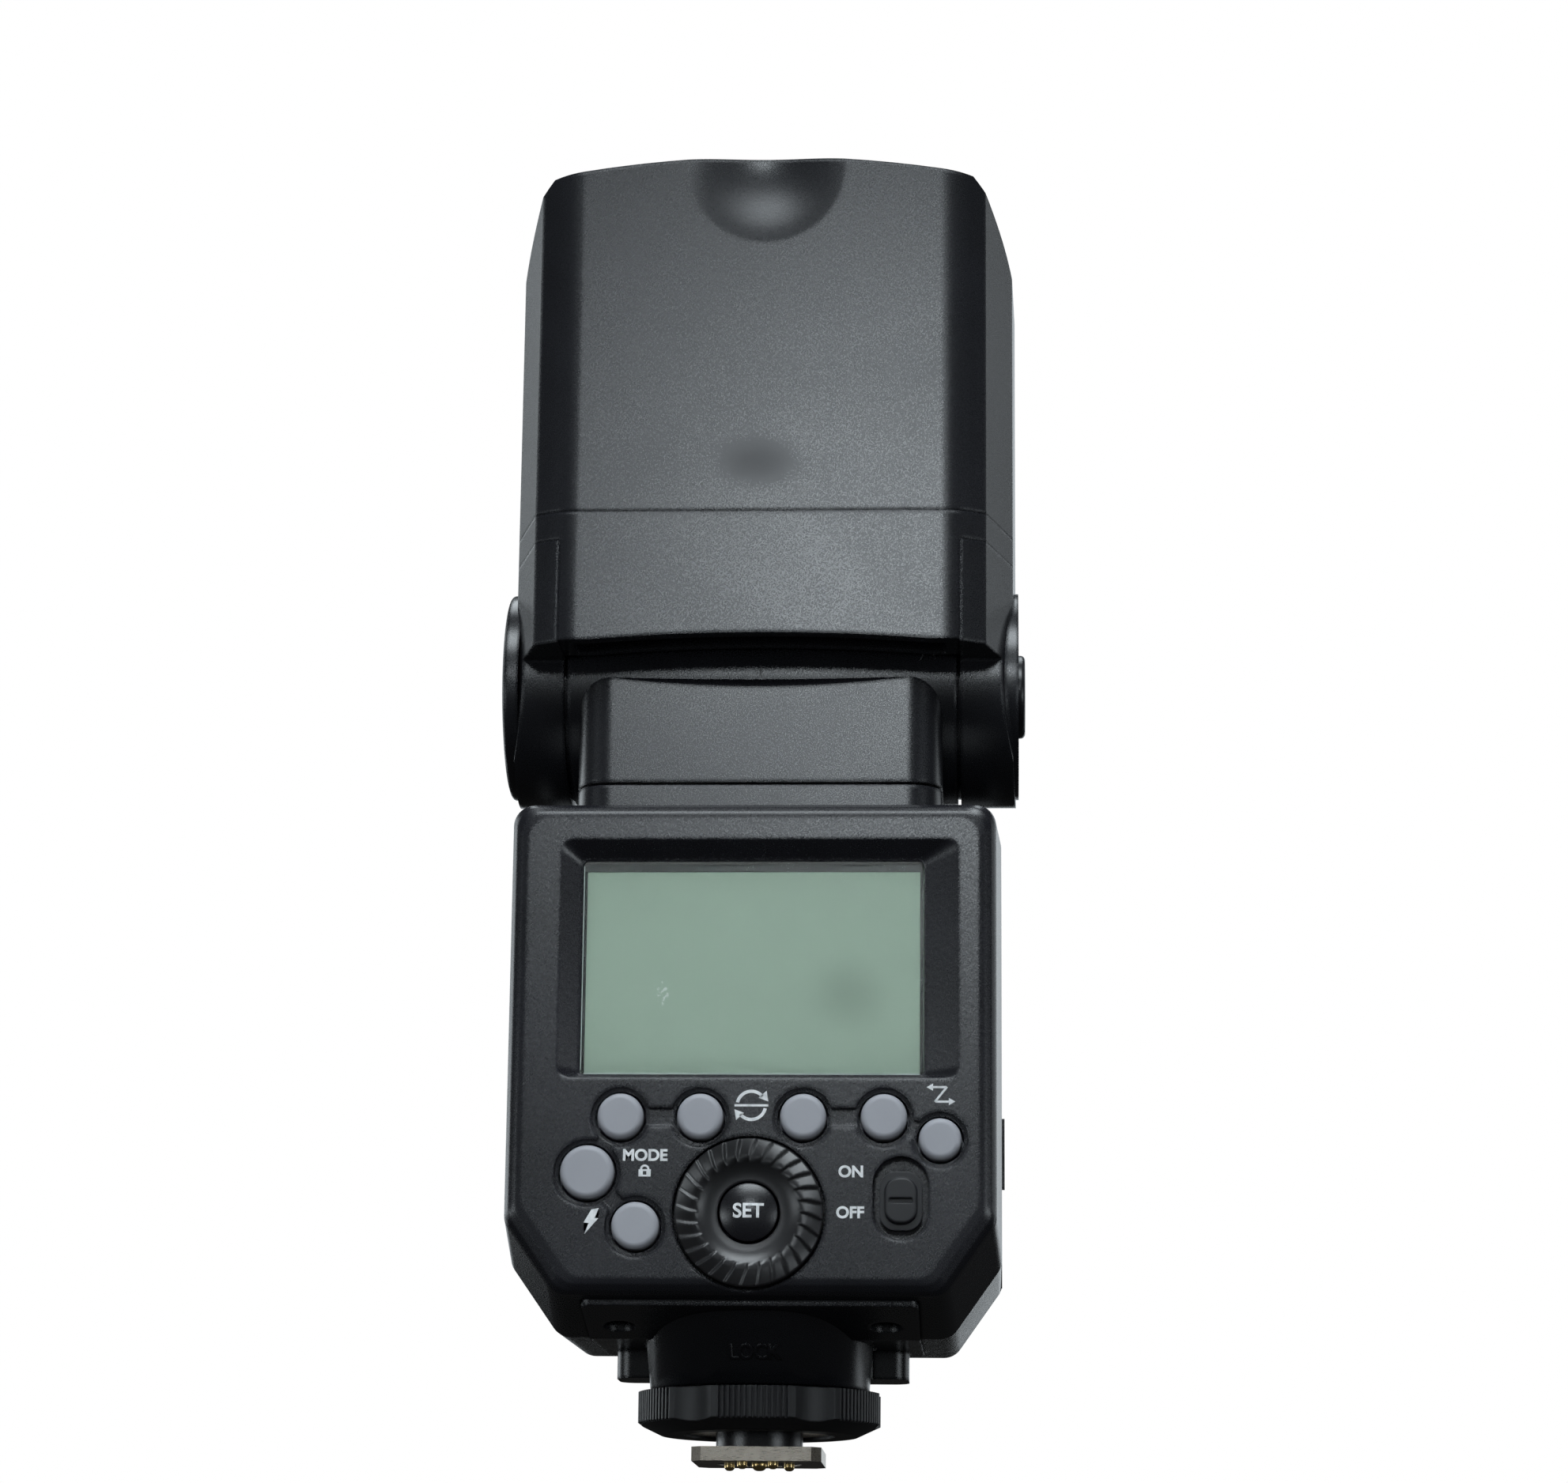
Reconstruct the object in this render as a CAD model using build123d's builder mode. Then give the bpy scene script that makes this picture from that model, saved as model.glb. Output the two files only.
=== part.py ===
from build123d import *
import math
import os

os.makedirs("parts", exist_ok=True)

# Hot-shoe flash. Millimetres, +Z up, the control face looks towards -Y.
# The origin is the centre of the underside of the metal foot plate.

# ---- driving dimensions -------------------------------------------------------------------
REAR_Y = -32.0            # control face
SEAM_Y = -14.0            # seam between the rear and front covers
FRONT_Y = 30.0            # front of the body
BODY_TOP = 90.5
REAR_HALF = 34.2          # half width of the control face
BODY_HALF = 34.9          # half width at the seam and forward of it
REAR_BOTTOM = 21.0        # underside height at the control face
SEAM_BOTTOM = 16.8
FRONT_BOTTOM = 17.0
CHAMFER_X = 7.2           # lower corner cut of the body
CHAMFER_Z = 10.2
COVER_WALL = 2.2
FACE_WALL = 3.4           # wall behind the control face
GAP = 0.35                # air kept round everything that moves

LCD_HALF = 28.05          # display recess
LCD_SHIFT = 0.95          # the recess sits a little to the right of its window
LCD_LOW = 51.2
LCD_HIGH = 85.2
GLASS_HALF = 24.0
GLASS_LOW = 51.9
GLASS_HIGH = 82.2
RECESS_DEPTH = 1.9

KEY_D = 6.4               # small round keys
MODE_D = 7.5
KEY_TRAVEL = 0.6
CHANNEL = 0.95            # sunk ring round each key
CHANNEL_DEPTH = 0.7
DIAL_X = 0.0
DIAL_Z = 32.4
DIAL_R = 10.3
SET_R = 4.0
SET_OUT = 1.4             # top of the centre key's dome, out from the face
SET_DOME = 9.0
SWITCH_X = 21.0
SWITCH_Z = 34.5

PLATE_W = 18.5            # shoe foot, ISO 518 family
PLATE_L = 18.2
PLATE_T = 2.0
STEM_R = 6.25
RING_R = 17.6
RING_LOW = 4.0
BAND_LOW = 5.6
RING_TOP = 10.0
COLLAR_LOW_R = 15.8
COLLAR_TOP_R = 16.6
TENON_LOW = 17.5
GRIPS = 6
RIBS = 13
SCALLOP_R = 8.3
PIN_OUT = 0.9             # how far the contacts stand out of the foot

AXIS_Z = 113.5            # tilt axis, along X through y = 0
DRUM_R = 16.2
DRUM_HALF = 28.5
THRUST_R = 15.3
CHEEK_IN = 29.0
HEAD_HALF = 37.1
DISC_R = 16.6
HEAD_REAR = -27.0
HEAD_FRONT = 16.4         # kept shallow so the head clears the body when it points down
HEAD_TOP = 189.3
LIP_Z = 116.2
SPLIT_Z = 134.8
FLOOR_Z = 130.6
NECK_SEAM = 95.2
RIM_Z = 111.2
NECK_HALF = 26.4
NECK_REAR = -22.0
NECK_FRONT = 11.5
NECK_GROOVE = 0.4         # dark line between turntable and neck
SHOULDER = 4.7
RIM_ARC_R = 220.0
RIM_ARC_DIP = 1.5
CAP_RADIUS = 15.4         # round cover over each end of the tilt axle

SYNC_Y = 4.0
SYNC_Z = 75.0
SYNC_BORE_R = 1.3         # 2.5 mm miniature jack

KEYS = {
    "key_lamp": (-18.0, 45.7, KEY_D),
    "key_sync": (-6.9, 45.7, KEY_D),
    "key_plus": (7.4, 45.7, KEY_D),
    "key_group": (18.6, 45.7, KEY_D),
    "key_wireless": (26.4, 42.6, 5.9),
    "key_mode": (-22.5, 37.9, MODE_D),
    "key_test": (-15.7, 30.5, 6.6),
}
CHANNEL_LINKS = (
    ("key_lamp", "key_sync"),
    ("key_lamp", "key_mode"),
    ("key_mode", "key_test"),
    ("key_plus", "key_group"),
    ("key_group", "key_wireless"),
)
PIN_PLACES = {
    "pin_centre": (0.0, 0.4, 1.1),
    "pin_rear_left": (-2.2, -4.2, 0.75),
    "pin_rear_right": (2.2, -4.2, 0.75),
    "pin_side_left": (-4.3, 0.6, 0.75),
    "pin_side_right": (4.3, 0.6, 0.75),
}


def save(piece, name):
    piece.part.label = name
    export_step(piece.part, f"parts/{name}.step")


def at_y(y):
    return Plane.XZ.offset(-y)


def at_x(x):
    return Plane.YZ.offset(x)


def body_outline(y, half, top, bottom, inset=0.0):
    # Front view of the body at one depth: a slab with its two lower corners cut off.
    cut_x = CHAMFER_X - inset * 0.6
    cut_z = CHAMFER_Z - inset * 0.4
    side = half - inset
    low = bottom + inset
    with BuildSketch(at_y(y)) as outline:
        with BuildLine():
            Polyline(
                (-side, top - inset),
                (side, top - inset),
                (side, low + cut_z),
                (side - cut_x, low),
                (-side + cut_x, low),
                (-side, low + cut_z),
                close=True,
            )
        make_face()
        fillet(outline.vertices(), radius=2.2 if inset else 3.0)
    return outline.sketch


def underside(y):
    # Height of the body's underside, which falls to the seam and is nearly level forward of it.
    if y < SEAM_Y:
        t = (y - REAR_Y) / (SEAM_Y - REAR_Y)
        return REAR_BOTTOM + t * (SEAM_BOTTOM - REAR_BOTTOM)
    t = (y - SEAM_Y) / (FRONT_Y - SEAM_Y)
    return SEAM_BOTTOM + t * (FRONT_BOTTOM - SEAM_BOTTOM)


# ---- body covers --------------------------------------------------------------------------
EDGE_R = 2.4              # rounding round the control face
EDGE_STEPS = [
    (EDGE_R * (1 - math.cos(math.radians(a))), EDGE_R * (1 - math.sin(math.radians(a))))
    for a in (0, 22, 45, 68, 90)
]


def recess_outline(y, open_by):
    # Display recess at one depth: its sides and top slope in to the window, its lower edge hardly does.
    half = GLASS_HALF + 0.3 + open_by * (LCD_HALF - GLASS_HALF - 0.3)
    high = GLASS_HIGH + 0.3 + open_by * (LCD_HIGH - GLASS_HIGH - 0.3)
    low = GLASS_LOW - 0.3 + open_by * (LCD_LOW - GLASS_LOW + 0.3)
    with BuildSketch(at_y(y)) as outline:
        with Locations((open_by * LCD_SHIFT, (low + high) / 2)):
            RectangleRounded(2 * half, high - low, 0.8 + 0.9 * open_by)
    return outline.sketch


PLATE_STEP = 0.2          # how far the base plate stands below the underside
BASE_HALF = 23.4
BASE_REAR = -28.4
BASE_FRONT = 14.0
SCREW_X = 18.7
STEP_Z = 12.6             # low step under the plate, just in front of the collar
STEP_Y = 9.0
SCREW_Y = -19.5


def base_profile(grow):
    # Side view of the base plate: it follows the sloping underside.
    with BuildSketch(at_x(0)) as profile:
        with BuildLine():
            Polyline(
                (BASE_REAR - grow, underside(BASE_REAR) - PLATE_STEP - grow),
                (SEAM_Y, underside(SEAM_Y) - PLATE_STEP - grow),
                (BASE_FRONT + grow, underside(BASE_FRONT) - PLATE_STEP - grow),
                (BASE_FRONT + grow, underside(BASE_FRONT) + 1.8 + grow),
                (SEAM_Y, underside(SEAM_Y) + 1.8 + grow),
                (BASE_REAR - grow, underside(BASE_REAR) + 1.8 + grow),
                close=True,
            )
        make_face()
    return profile.sketch


FLANK_FRONT_R = 16.5      # top of the collar's flank, which leans back to the plate's rear edge
FLANK_REAR = 28.3
FLANK_TOP = 21.0
FLANK_POINTS = 36
FLANK_POWER = 2 / 3       # how square the flank's rear is: 1 is an ellipse


def flank_outline(z, front_r, rear, power):
    # Plan of the flank: a half circle in front, a squarer half at the rear.
    points = []
    for k in range(FLANK_POINTS):
        a = 2 * math.pi * k / FLANK_POINTS
        if math.sin(a) >= -0.001:
            points.append((front_r * math.cos(a), front_r * math.sin(a)))
        else:
            across = math.copysign(abs(math.cos(a)) ** power, math.cos(a))
            points.append((front_r * across, -rear * abs(math.sin(a)) ** power))
    with BuildSketch(Plane.XY.offset(z)) as outline:
        with BuildLine():
            Spline(*points, periodic=True)
        make_face()
    return outline.sketch


def flank(grow):
    # The collar's outside: round at the lock ring, wider to the rear where it meets the plate.
    low = flank_outline(RING_TOP + GAP, COLLAR_LOW_R + grow, COLLAR_LOW_R + grow, 1.0)
    high = flank_outline(FLANK_TOP + grow, FLANK_FRONT_R + grow, FLANK_REAR + grow, FLANK_POWER)
    with BuildPart() as cone:
        loft([low, high])
    return cone.part


PACK_X0 = -23.0
PACK_Y0 = -9.0
PACK_Y1 = 21.0
PACK_Z0 = 30.0
PACK_Z1 = 58.0

with BuildPart() as rear_cover:
    near = body_outline(REAR_Y + 2.4, REAR_HALF, BODY_TOP, REAR_BOTTOM)
    far = body_outline(SEAM_Y, BODY_HALF, BODY_TOP, SEAM_BOTTOM)
    loft([near, far])
    for (y0, in0), (y1, in1) in zip(EDGE_STEPS, EDGE_STEPS[1:]):
        near = body_outline(REAR_Y + y0, REAR_HALF - in0, BODY_TOP - in0, REAR_BOTTOM + in0)
        far = body_outline(REAR_Y + y1, REAR_HALF - in1, BODY_TOP - in1, REAR_BOTTOM + in1)
        loft([near, far])
    near = body_outline(REAR_Y + FACE_WALL, REAR_HALF, BODY_TOP, REAR_BOTTOM, COVER_WALL)
    far = body_outline(SEAM_Y, BODY_HALF, BODY_TOP, SEAM_BOTTOM, COVER_WALL)
    loft([near, far], mode=Mode.SUBTRACT)
    # base plate seat
    extrude(base_profile(0.1), amount=BASE_HALF + 0.1, both=True, mode=Mode.SUBTRACT)
    add(flank(0.1), mode=Mode.SUBTRACT)
    with BuildSketch(Plane.XY):
        Circle(COLLAR_TOP_R + 0.2)
        with Locations((-SCREW_X, SCREW_Y), (SCREW_X, SCREW_Y)):
            Circle(2.2)
    extrude(amount=REAR_BOTTOM + 1, mode=Mode.SUBTRACT)
    # display recess and the window opening through it
    loft([recess_outline(REAR_Y, 1.0), recess_outline(REAR_Y + RECESS_DEPTH, 0.0)], mode=Mode.SUBTRACT)
    with BuildSketch(at_y(REAR_Y)):
        with Locations((0, (GLASS_LOW + GLASS_HIGH) / 2)):
            RectangleRounded(2 * GLASS_HALF + 0.2, GLASS_HIGH - GLASS_LOW + 0.2, 0.8)
    extrude(amount=-FACE_WALL - 1, mode=Mode.SUBTRACT)
    # sunk channels that ring the keys and run between them
    with BuildSketch(at_y(REAR_Y)):
        for x, z, d in KEYS.values():
            with Locations((x, z)):
                Circle(d / 2 + CHANNEL)
        for first, second in CHANNEL_LINKS:
            x0, z0, d0 = KEYS[first]
            x1, z1, d1 = KEYS[second]
            angle = math.degrees(math.atan2(z1 - z0, x1 - x0))
            with Locations(Location(((x0 + x1) / 2, (z0 + z1) / 2, 0), (0, 0, angle))):
                Rectangle(math.hypot(x1 - x0, z1 - z0), 2.6)
    extrude(amount=-CHANNEL_DEPTH, mode=Mode.SUBTRACT)
    # key wells
    with BuildSketch(at_y(REAR_Y)):
        for x, z, d in KEYS.values():
            with Locations((x, z)):
                Circle(d / 2 + GAP)
    extrude(amount=-FACE_WALL - 1, mode=Mode.SUBTRACT)
    # dial well with a bore for the dial's hub
    with BuildSketch(at_y(REAR_Y)):
        with Locations((DIAL_X, DIAL_Z)):
            Circle(DIAL_R + GAP)
    extrude(amount=-2.2, mode=Mode.SUBTRACT)
    with BuildSketch(at_y(REAR_Y)):
        with Locations((DIAL_X, DIAL_Z)):
            Circle(SET_R + 2.0)
    extrude(amount=-FACE_WALL - 1, mode=Mode.SUBTRACT)
    # power switch well and the slot its stem runs in
    with BuildSketch(at_y(REAR_Y)):
        with Locations(Location((SWITCH_X, SWITCH_Z, 0), (0, 0, 90))):
            SlotOverall(11.6, 7.8)
    extrude(amount=-1.7, mode=Mode.SUBTRACT)
    with BuildSketch(at_y(REAR_Y)):
        with Locations(Location((SWITCH_X, SWITCH_Z, 0), (0, 0, 90))):
            SlotOverall(7.4, 3.2)
    extrude(amount=-FACE_WALL - 1, mode=Mode.SUBTRACT)
save(rear_cover, "rear_cover")

with BuildPart() as front_cover:
    near = body_outline(SEAM_Y + 0.05, BODY_HALF, BODY_TOP, SEAM_BOTTOM)
    far = body_outline(FRONT_Y - 6, BODY_HALF, BODY_TOP, FRONT_BOTTOM + 0.4)
    loft([near, far])
    near = body_outline(FRONT_Y - 6, BODY_HALF, BODY_TOP, FRONT_BOTTOM + 0.4)
    far = body_outline(FRONT_Y, BODY_HALF - 4, BODY_TOP - 4, FRONT_BOTTOM + 3)
    loft([near, far])
    near = body_outline(SEAM_Y, BODY_HALF, BODY_TOP, SEAM_BOTTOM, COVER_WALL)
    far = body_outline(FRONT_Y - 6, BODY_HALF, BODY_TOP, FRONT_BOTTOM + 0.4, COVER_WALL)
    loft([near, far], mode=Mode.SUBTRACT)
    near = body_outline(FRONT_Y - 6, BODY_HALF, BODY_TOP, FRONT_BOTTOM + 0.4, COVER_WALL)
    far = body_outline(FRONT_Y - 2.6, BODY_HALF - 3.4, BODY_TOP - 3, FRONT_BOTTOM + 3, COVER_WALL)
    loft([near, far], mode=Mode.SUBTRACT)
    extrude(base_profile(0.1), amount=BASE_HALF + 0.1, both=True, mode=Mode.SUBTRACT)
    with BuildSketch(Plane.XY):
        Circle(COLLAR_TOP_R + 0.2)
    extrude(amount=FRONT_BOTTOM + 8, mode=Mode.SUBTRACT)
    add(flank(0.1), mode=Mode.SUBTRACT)
    # mouth of the battery bay in the right side
    with BuildSketch(at_x(BODY_HALF - 6)):
        with Locations(((PACK_Y0 + PACK_Y1) / 2, (PACK_Z0 + PACK_Z1) / 2)):
            Rectangle(PACK_Y1 - PACK_Y0 + 5.4, PACK_Z1 - PACK_Z0 + 5.4)
    extrude(amount=10, mode=Mode.SUBTRACT)
    # socket pocket in the left side, and the sync jack's hole above it
    with BuildSketch(at_x(-BODY_HALF - 1)):
        with Locations((4, 55)):
            RectangleRounded(11.4, 25.4, 2.2)
        with Locations((SYNC_Y, SYNC_Z)):
            Circle(3.25)
    extrude(amount=6, mode=Mode.SUBTRACT)
    # round well of the swivel bearing in the top
    with BuildSketch(Plane.XY.offset(BODY_TOP - 5)):
        Circle(11.2)
    extrude(amount=8, mode=Mode.SUBTRACT)
    # autofocus lamp opening in the front
    with BuildSketch(at_y(FRONT_Y + 1)):
        with Locations((0, 62)):
            RectangleRounded(46.2, 25.2, 3)
    extrude(amount=8, both=True, mode=Mode.SUBTRACT)
save(front_cover, "front_cover")

with BuildPart() as base_plate:
    extrude(base_profile(0), amount=BASE_HALF, both=True)
    fillet(base_plate.edges().filter_by(Axis.Z), radius=1.2)
    with BuildSketch(Plane.XY.offset(STEP_Z)):
        with Locations((0, STEP_Y)):
            RectangleRounded(42.6, 9.6, 2.4)
    extrude(amount=underside(STEP_Y) + 0.8 - STEP_Z)
    add(flank(0.1), mode=Mode.SUBTRACT)
    with BuildSketch(Plane.XY):
        Circle(COLLAR_TOP_R + 0.1)
    extrude(amount=40, mode=Mode.SUBTRACT)
    with BuildSketch(Plane.XY):
        with Locations((-SCREW_X, SCREW_Y), (SCREW_X, SCREW_Y)):
            Circle(2.25)
    extrude(amount=40, mode=Mode.SUBTRACT)
save(base_plate, "base_plate")

SCREW_SUNK = 0.9          # how deep the screw heads sit
with BuildPart() as base_screws:
    with BuildSketch(Plane.XY.offset(underside(SCREW_Y) + SCREW_SUNK)):
        with Locations((-SCREW_X, SCREW_Y), (SCREW_X, SCREW_Y)):
            Circle(2.1)
    extrude(amount=1.6)
    with BuildSketch(Plane.XY.offset(underside(SCREW_Y) + SCREW_SUNK)):
        with Locations((-SCREW_X, SCREW_Y), (SCREW_X, SCREW_Y)):
            Rectangle(2.4, 0.6)
            Rectangle(0.6, 2.4)
    extrude(amount=0.8, mode=Mode.SUBTRACT)
    with BuildSketch(Plane.XY.offset(underside(SCREW_Y) + SCREW_SUNK + 1.6)):
        with Locations((-SCREW_X, SCREW_Y), (SCREW_X, SCREW_Y)):
            Circle(1.0)
    extrude(amount=1.3)
save(base_screws, "base_screws")

# ---- foot ---------------------------------------------------------------------------------
with BuildPart() as foot_collar:
    add(flank(0))
    # round tenon that sits in the front cover
    with BuildSketch(Plane.XY.offset(TENON_LOW)):
        Circle(COLLAR_TOP_R)
    extrude(amount=FLANK_TOP - 0.2 - TENON_LOW)
    with BuildSketch(Plane.XY.offset(RING_TOP + GAP)):
        Circle(STEM_R + 0.05)
    extrude(amount=14, mode=Mode.SUBTRACT)
save(foot_collar, "foot_collar")

with BuildPart() as foot_stem:
    with BuildSketch(Plane.XY.offset(PLATE_T)):
        Circle(STEM_R)
    extrude(amount=19)
    with BuildSketch(Plane.XY.offset(PLATE_T)):
        for x, y, r in PIN_PLACES.values():
            with Locations((x, y)):
                Circle(r + 0.05)
    extrude(amount=5.4, mode=Mode.SUBTRACT)
save(foot_stem, "foot_stem")

with BuildPart() as foot_plate:
    with BuildSketch(Plane.XY) as foot_outline:
        Rectangle(PLATE_W, PLATE_L)
        chamfer(foot_outline.vertices(), length=1.4)
    extrude(amount=PLATE_T)
    with BuildSketch(Plane.XY):
        Circle(STEM_R - 0.2)
        with Locations((0, 7.7)):
            Circle(1.02)
    extrude(amount=PLATE_T, mode=Mode.SUBTRACT)
save(foot_plate, "foot_plate")

with BuildPart() as contact_block:
    with BuildSketch(Plane.XY.offset(0.1)):
        Circle(STEM_R - 0.2)
    extrude(amount=PLATE_T - 0.1)
    with BuildSketch(Plane.XY):
        for x, y, r in PIN_PLACES.values():
            with Locations((x, y)):
                Circle(r + 0.05)
    extrude(amount=PLATE_T, mode=Mode.SUBTRACT)
save(contact_block, "contact_block")


def contact_pin(x, y, r):
    # Domed, plated plunger that springs up into the stem.
    with BuildPart() as pin:
        with BuildSketch(Plane.XY.offset(-PIN_OUT)):
            with Locations((x, y)):
                Circle(r)
        extrude(amount=PIN_OUT + 6.0)
        tip = pin.edges().sort_by(Axis.Z)[0]
        fillet(tip, radius=r * 0.8)
    return pin


for name, (x, y, r) in PIN_PLACES.items():
    save(contact_pin(x, y, r), name)

with BuildPart() as lock_ring:
    with BuildSketch(Plane.XY.offset(RING_LOW)):
        Circle(RING_R - 3.4)
    with BuildSketch(Plane.XY.offset(BAND_LOW)):
        Circle(RING_R)
    loft()
    with BuildSketch(Plane.XY.offset(BAND_LOW)):
        Circle(RING_R)
    extrude(amount=RING_TOP - BAND_LOW)
    with BuildSketch(Plane.XY.offset(RING_LOW)):
        # smooth finger scallops between the ribbed grips
        with PolarLocations(RING_R + SCALLOP_R - 0.9, GRIPS):
            Circle(SCALLOP_R)
        # grooves between the ribs of each grip
        for grip in range(GRIPS):
            with PolarLocations(RING_R, RIBS, start_angle=grip * 60 + 14.5, angular_range=31, endpoint=True):
                Rectangle(0.7, 0.42)
    extrude(amount=RING_TOP, mode=Mode.SUBTRACT)
    with BuildSketch(Plane.XY.offset(RING_LOW)):
        Circle(10.8)
    extrude(amount=2.9, mode=Mode.SUBTRACT)
    with BuildSketch(Plane.XY.offset(RING_LOW)):
        Circle(STEM_R + 0.08)
    extrude(amount=8, mode=Mode.SUBTRACT)
save(lock_ring, "lock_ring")

with BuildPart() as clamp_washer:
    with BuildSketch(Plane.XY.offset(RING_LOW + 0.4)):
        Circle(10.3)
        Circle(STEM_R + 0.08, mode=Mode.SUBTRACT)
        with Locations((0, 7.7)):
            Circle(0.95, mode=Mode.SUBTRACT)
    extrude(amount=1.2)
save(clamp_washer, "clamp_washer")

with BuildPart() as lock_pin:
    with BuildSketch(Plane.XY.offset(0.4)):
        with Locations((0, 7.7)):
            Circle(0.95)
    extrude(amount=RING_LOW + 1.4)
    chamfer(lock_pin.edges().sort_by(Axis.Z)[0], length=0.25)
save(lock_pin, "lock_pin")

# ---- control face -------------------------------------------------------------------------
with BuildPart() as lcd_window:
    with BuildSketch(at_y(REAR_Y + RECESS_DEPTH + 0.1)):
        with Locations((0, (GLASS_LOW + GLASS_HIGH) / 2)):
            RectangleRounded(2 * GLASS_HALF, GLASS_HIGH - GLASS_LOW, 0.7)
    extrude(amount=-1.6)
save(lcd_window, "lcd_window")

with BuildPart() as lcd_panel:
    with BuildSketch(at_y(REAR_Y + RECESS_DEPTH + 1.75)):
        with Locations((0, (GLASS_LOW + GLASS_HIGH) / 2)):
            Rectangle(2 * GLASS_HALF + 4, GLASS_HIGH - GLASS_LOW + 4)
    extrude(amount=-2.6)
save(lcd_panel, "lcd_panel")

with BuildPart() as main_board:
    with BuildSketch(at_y(-21.0)):
        with Locations((0, 56)):
            Rectangle(60, 54)
    extrude(amount=-1.6)
save(main_board, "main_board")

with BuildPart() as key_mat:
    with BuildSketch(at_y(-22.8)):
        for x, z, d in KEYS.values():
            with Locations((x, z)):
                Circle(d / 2 + 0.6)
        with Locations((DIAL_X, DIAL_Z)):
            Circle(5.5)
        with Locations((0, 38)):
            Rectangle(48, 1.6)
        with Locations((0, 44.6)):
            Rectangle(38, 1.6)
        with Locations((DIAL_X, 40)):
            Rectangle(1.6, 9)
        with Locations((-15.7, 34)):
            Rectangle(1.6, 8)
        with Locations((23.4, 41)):
            Rectangle(1.6, 7)
    extrude(amount=-1.6)
save(key_mat, "key_mat")


def key(x, z, d):
    # Domed round key with a flange that keeps it behind the face.
    with BuildPart() as cap:
        with BuildSketch(at_y(REAR_Y - 0.9)):
            with Locations((x, z)):
                Circle(d / 2)
        extrude(amount=-FACE_WALL - 1.3)
        rim = cap.edges().sort_by(Axis.Y)[0]
        fillet(rim, radius=0.85)
        with BuildSketch(at_y(REAR_Y + FACE_WALL + 0.4)):
            with Locations((x, z)):
                Circle(d / 2 + 0.7)
        extrude(amount=-1.0)
        with BuildSketch(at_y(REAR_Y + FACE_WALL + 1.4)):
            with Locations((x, z)):
                Circle(d / 2 - 1.2)
        extrude(amount=-3.3)
    return cap


for name, (x, z, d) in KEYS.items():
    save(key(x, z, d), name)

DIAL_TEETH = 28
with BuildPart() as dial:
    with BuildSketch(at_y(REAR_Y - 0.5)):
        with Locations((DIAL_X, DIAL_Z)):
            Circle(DIAL_R)
    extrude(amount=-2.3)
    with BuildSketch(at_y(REAR_Y + 1.8)):
        with Locations((DIAL_X, DIAL_Z)):
            Circle(SET_R + 1.92)
    extrude(amount=-3.0)
    with BuildSketch(at_y(REAR_Y - 1.0)):
        with Locations((DIAL_X, DIAL_Z)):
            with PolarLocations((DIAL_R + 7.0) / 2, DIAL_TEETH):
                Rectangle(DIAL_R - 7.4, 1.05)
    extrude(amount=-0.9)
    with BuildSketch(at_y(REAR_Y - 1.2)):
        with Locations((DIAL_X, DIAL_Z)):
            Circle(SET_R + GAP)
    extrude(amount=-8, mode=Mode.SUBTRACT)
save(dial, "dial")

with BuildPart() as set_key:
    with BuildSketch(at_y(REAR_Y - SET_OUT)):
        with Locations((DIAL_X, DIAL_Z)):
            Circle(SET_R)
    extrude(amount=-7.2 - SET_OUT)
    with Locations((DIAL_X, REAR_Y - SET_OUT + SET_DOME, DIAL_Z)):
        Sphere(SET_DOME, mode=Mode.INTERSECT)
save(set_key, "set_key")

with BuildPart() as power_switch:
    # base of the slider, sunk below the face
    with BuildSketch(at_y(REAR_Y + 0.1)):
        with Locations((SWITCH_X, SWITCH_Z - 0.4)):
            RectangleRounded(5.9, 8.2, 2.3)
    extrude(amount=-1.3)
    # raised pad with a groove for the nail
    with BuildSketch(at_y(REAR_Y - 0.7)):
        with Locations((SWITCH_X, SWITCH_Z - 0.4)):
            RectangleRounded(4.5, 6.4, 2.0)
    extrude(amount=-0.8)
    fillet(power_switch.edges().group_by(Axis.Y)[0], radius=0.35)
    with BuildSketch(at_y(REAR_Y - 0.8)):
        with Locations((SWITCH_X, SWITCH_Z - 0.4)):
            RectangleRounded(3.3, 0.75, 0.3)
    extrude(amount=-0.7, mode=Mode.SUBTRACT)
    with BuildSketch(at_y(REAR_Y + 1.4)):
        with Locations((SWITCH_X, SWITCH_Z - 0.4)):
            Rectangle(2.0, 3.2)
    extrude(amount=-4.2)
save(power_switch, "power_switch")

# ---- inside the body ----------------------------------------------------------------------
CAP_Z = 71.6
CAP_R = 12.0
with BuildPart() as main_capacitor:
    with BuildSketch(at_x(-20)):
        with Locations((12, CAP_Z)):
            Circle(CAP_R)
    extrude(amount=46)
    fillet(main_capacitor.edges(), radius=1.0)
save(main_capacitor, "main_capacitor")

WALL = 1.2
BAY_X0 = PACK_X0 - GAP - WALL
BAY_X1 = BODY_HALF - 6.0
with BuildPart() as battery_bay:
    with BuildSketch(at_x(BAY_X0)):
        with Locations(((PACK_Y0 + PACK_Y1) / 2, (PACK_Z0 + PACK_Z1) / 2)):
            Rectangle(PACK_Y1 - PACK_Y0 + 2 * GAP + 2 * WALL, PACK_Z1 - PACK_Z0 + 2 * GAP + 2 * WALL)
    extrude(amount=BAY_X1 - BAY_X0)
    with BuildSketch(at_x(BAY_X0 + WALL)):
        with Locations(((PACK_Y0 + PACK_Y1) / 2, (PACK_Z0 + PACK_Z1) / 2)):
            Rectangle(PACK_Y1 - PACK_Y0 + 2 * GAP, PACK_Z1 - PACK_Z0 + 2 * GAP)
    extrude(amount=BAY_X1 - BAY_X0, mode=Mode.SUBTRACT)
save(battery_bay, "battery_bay")

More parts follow.
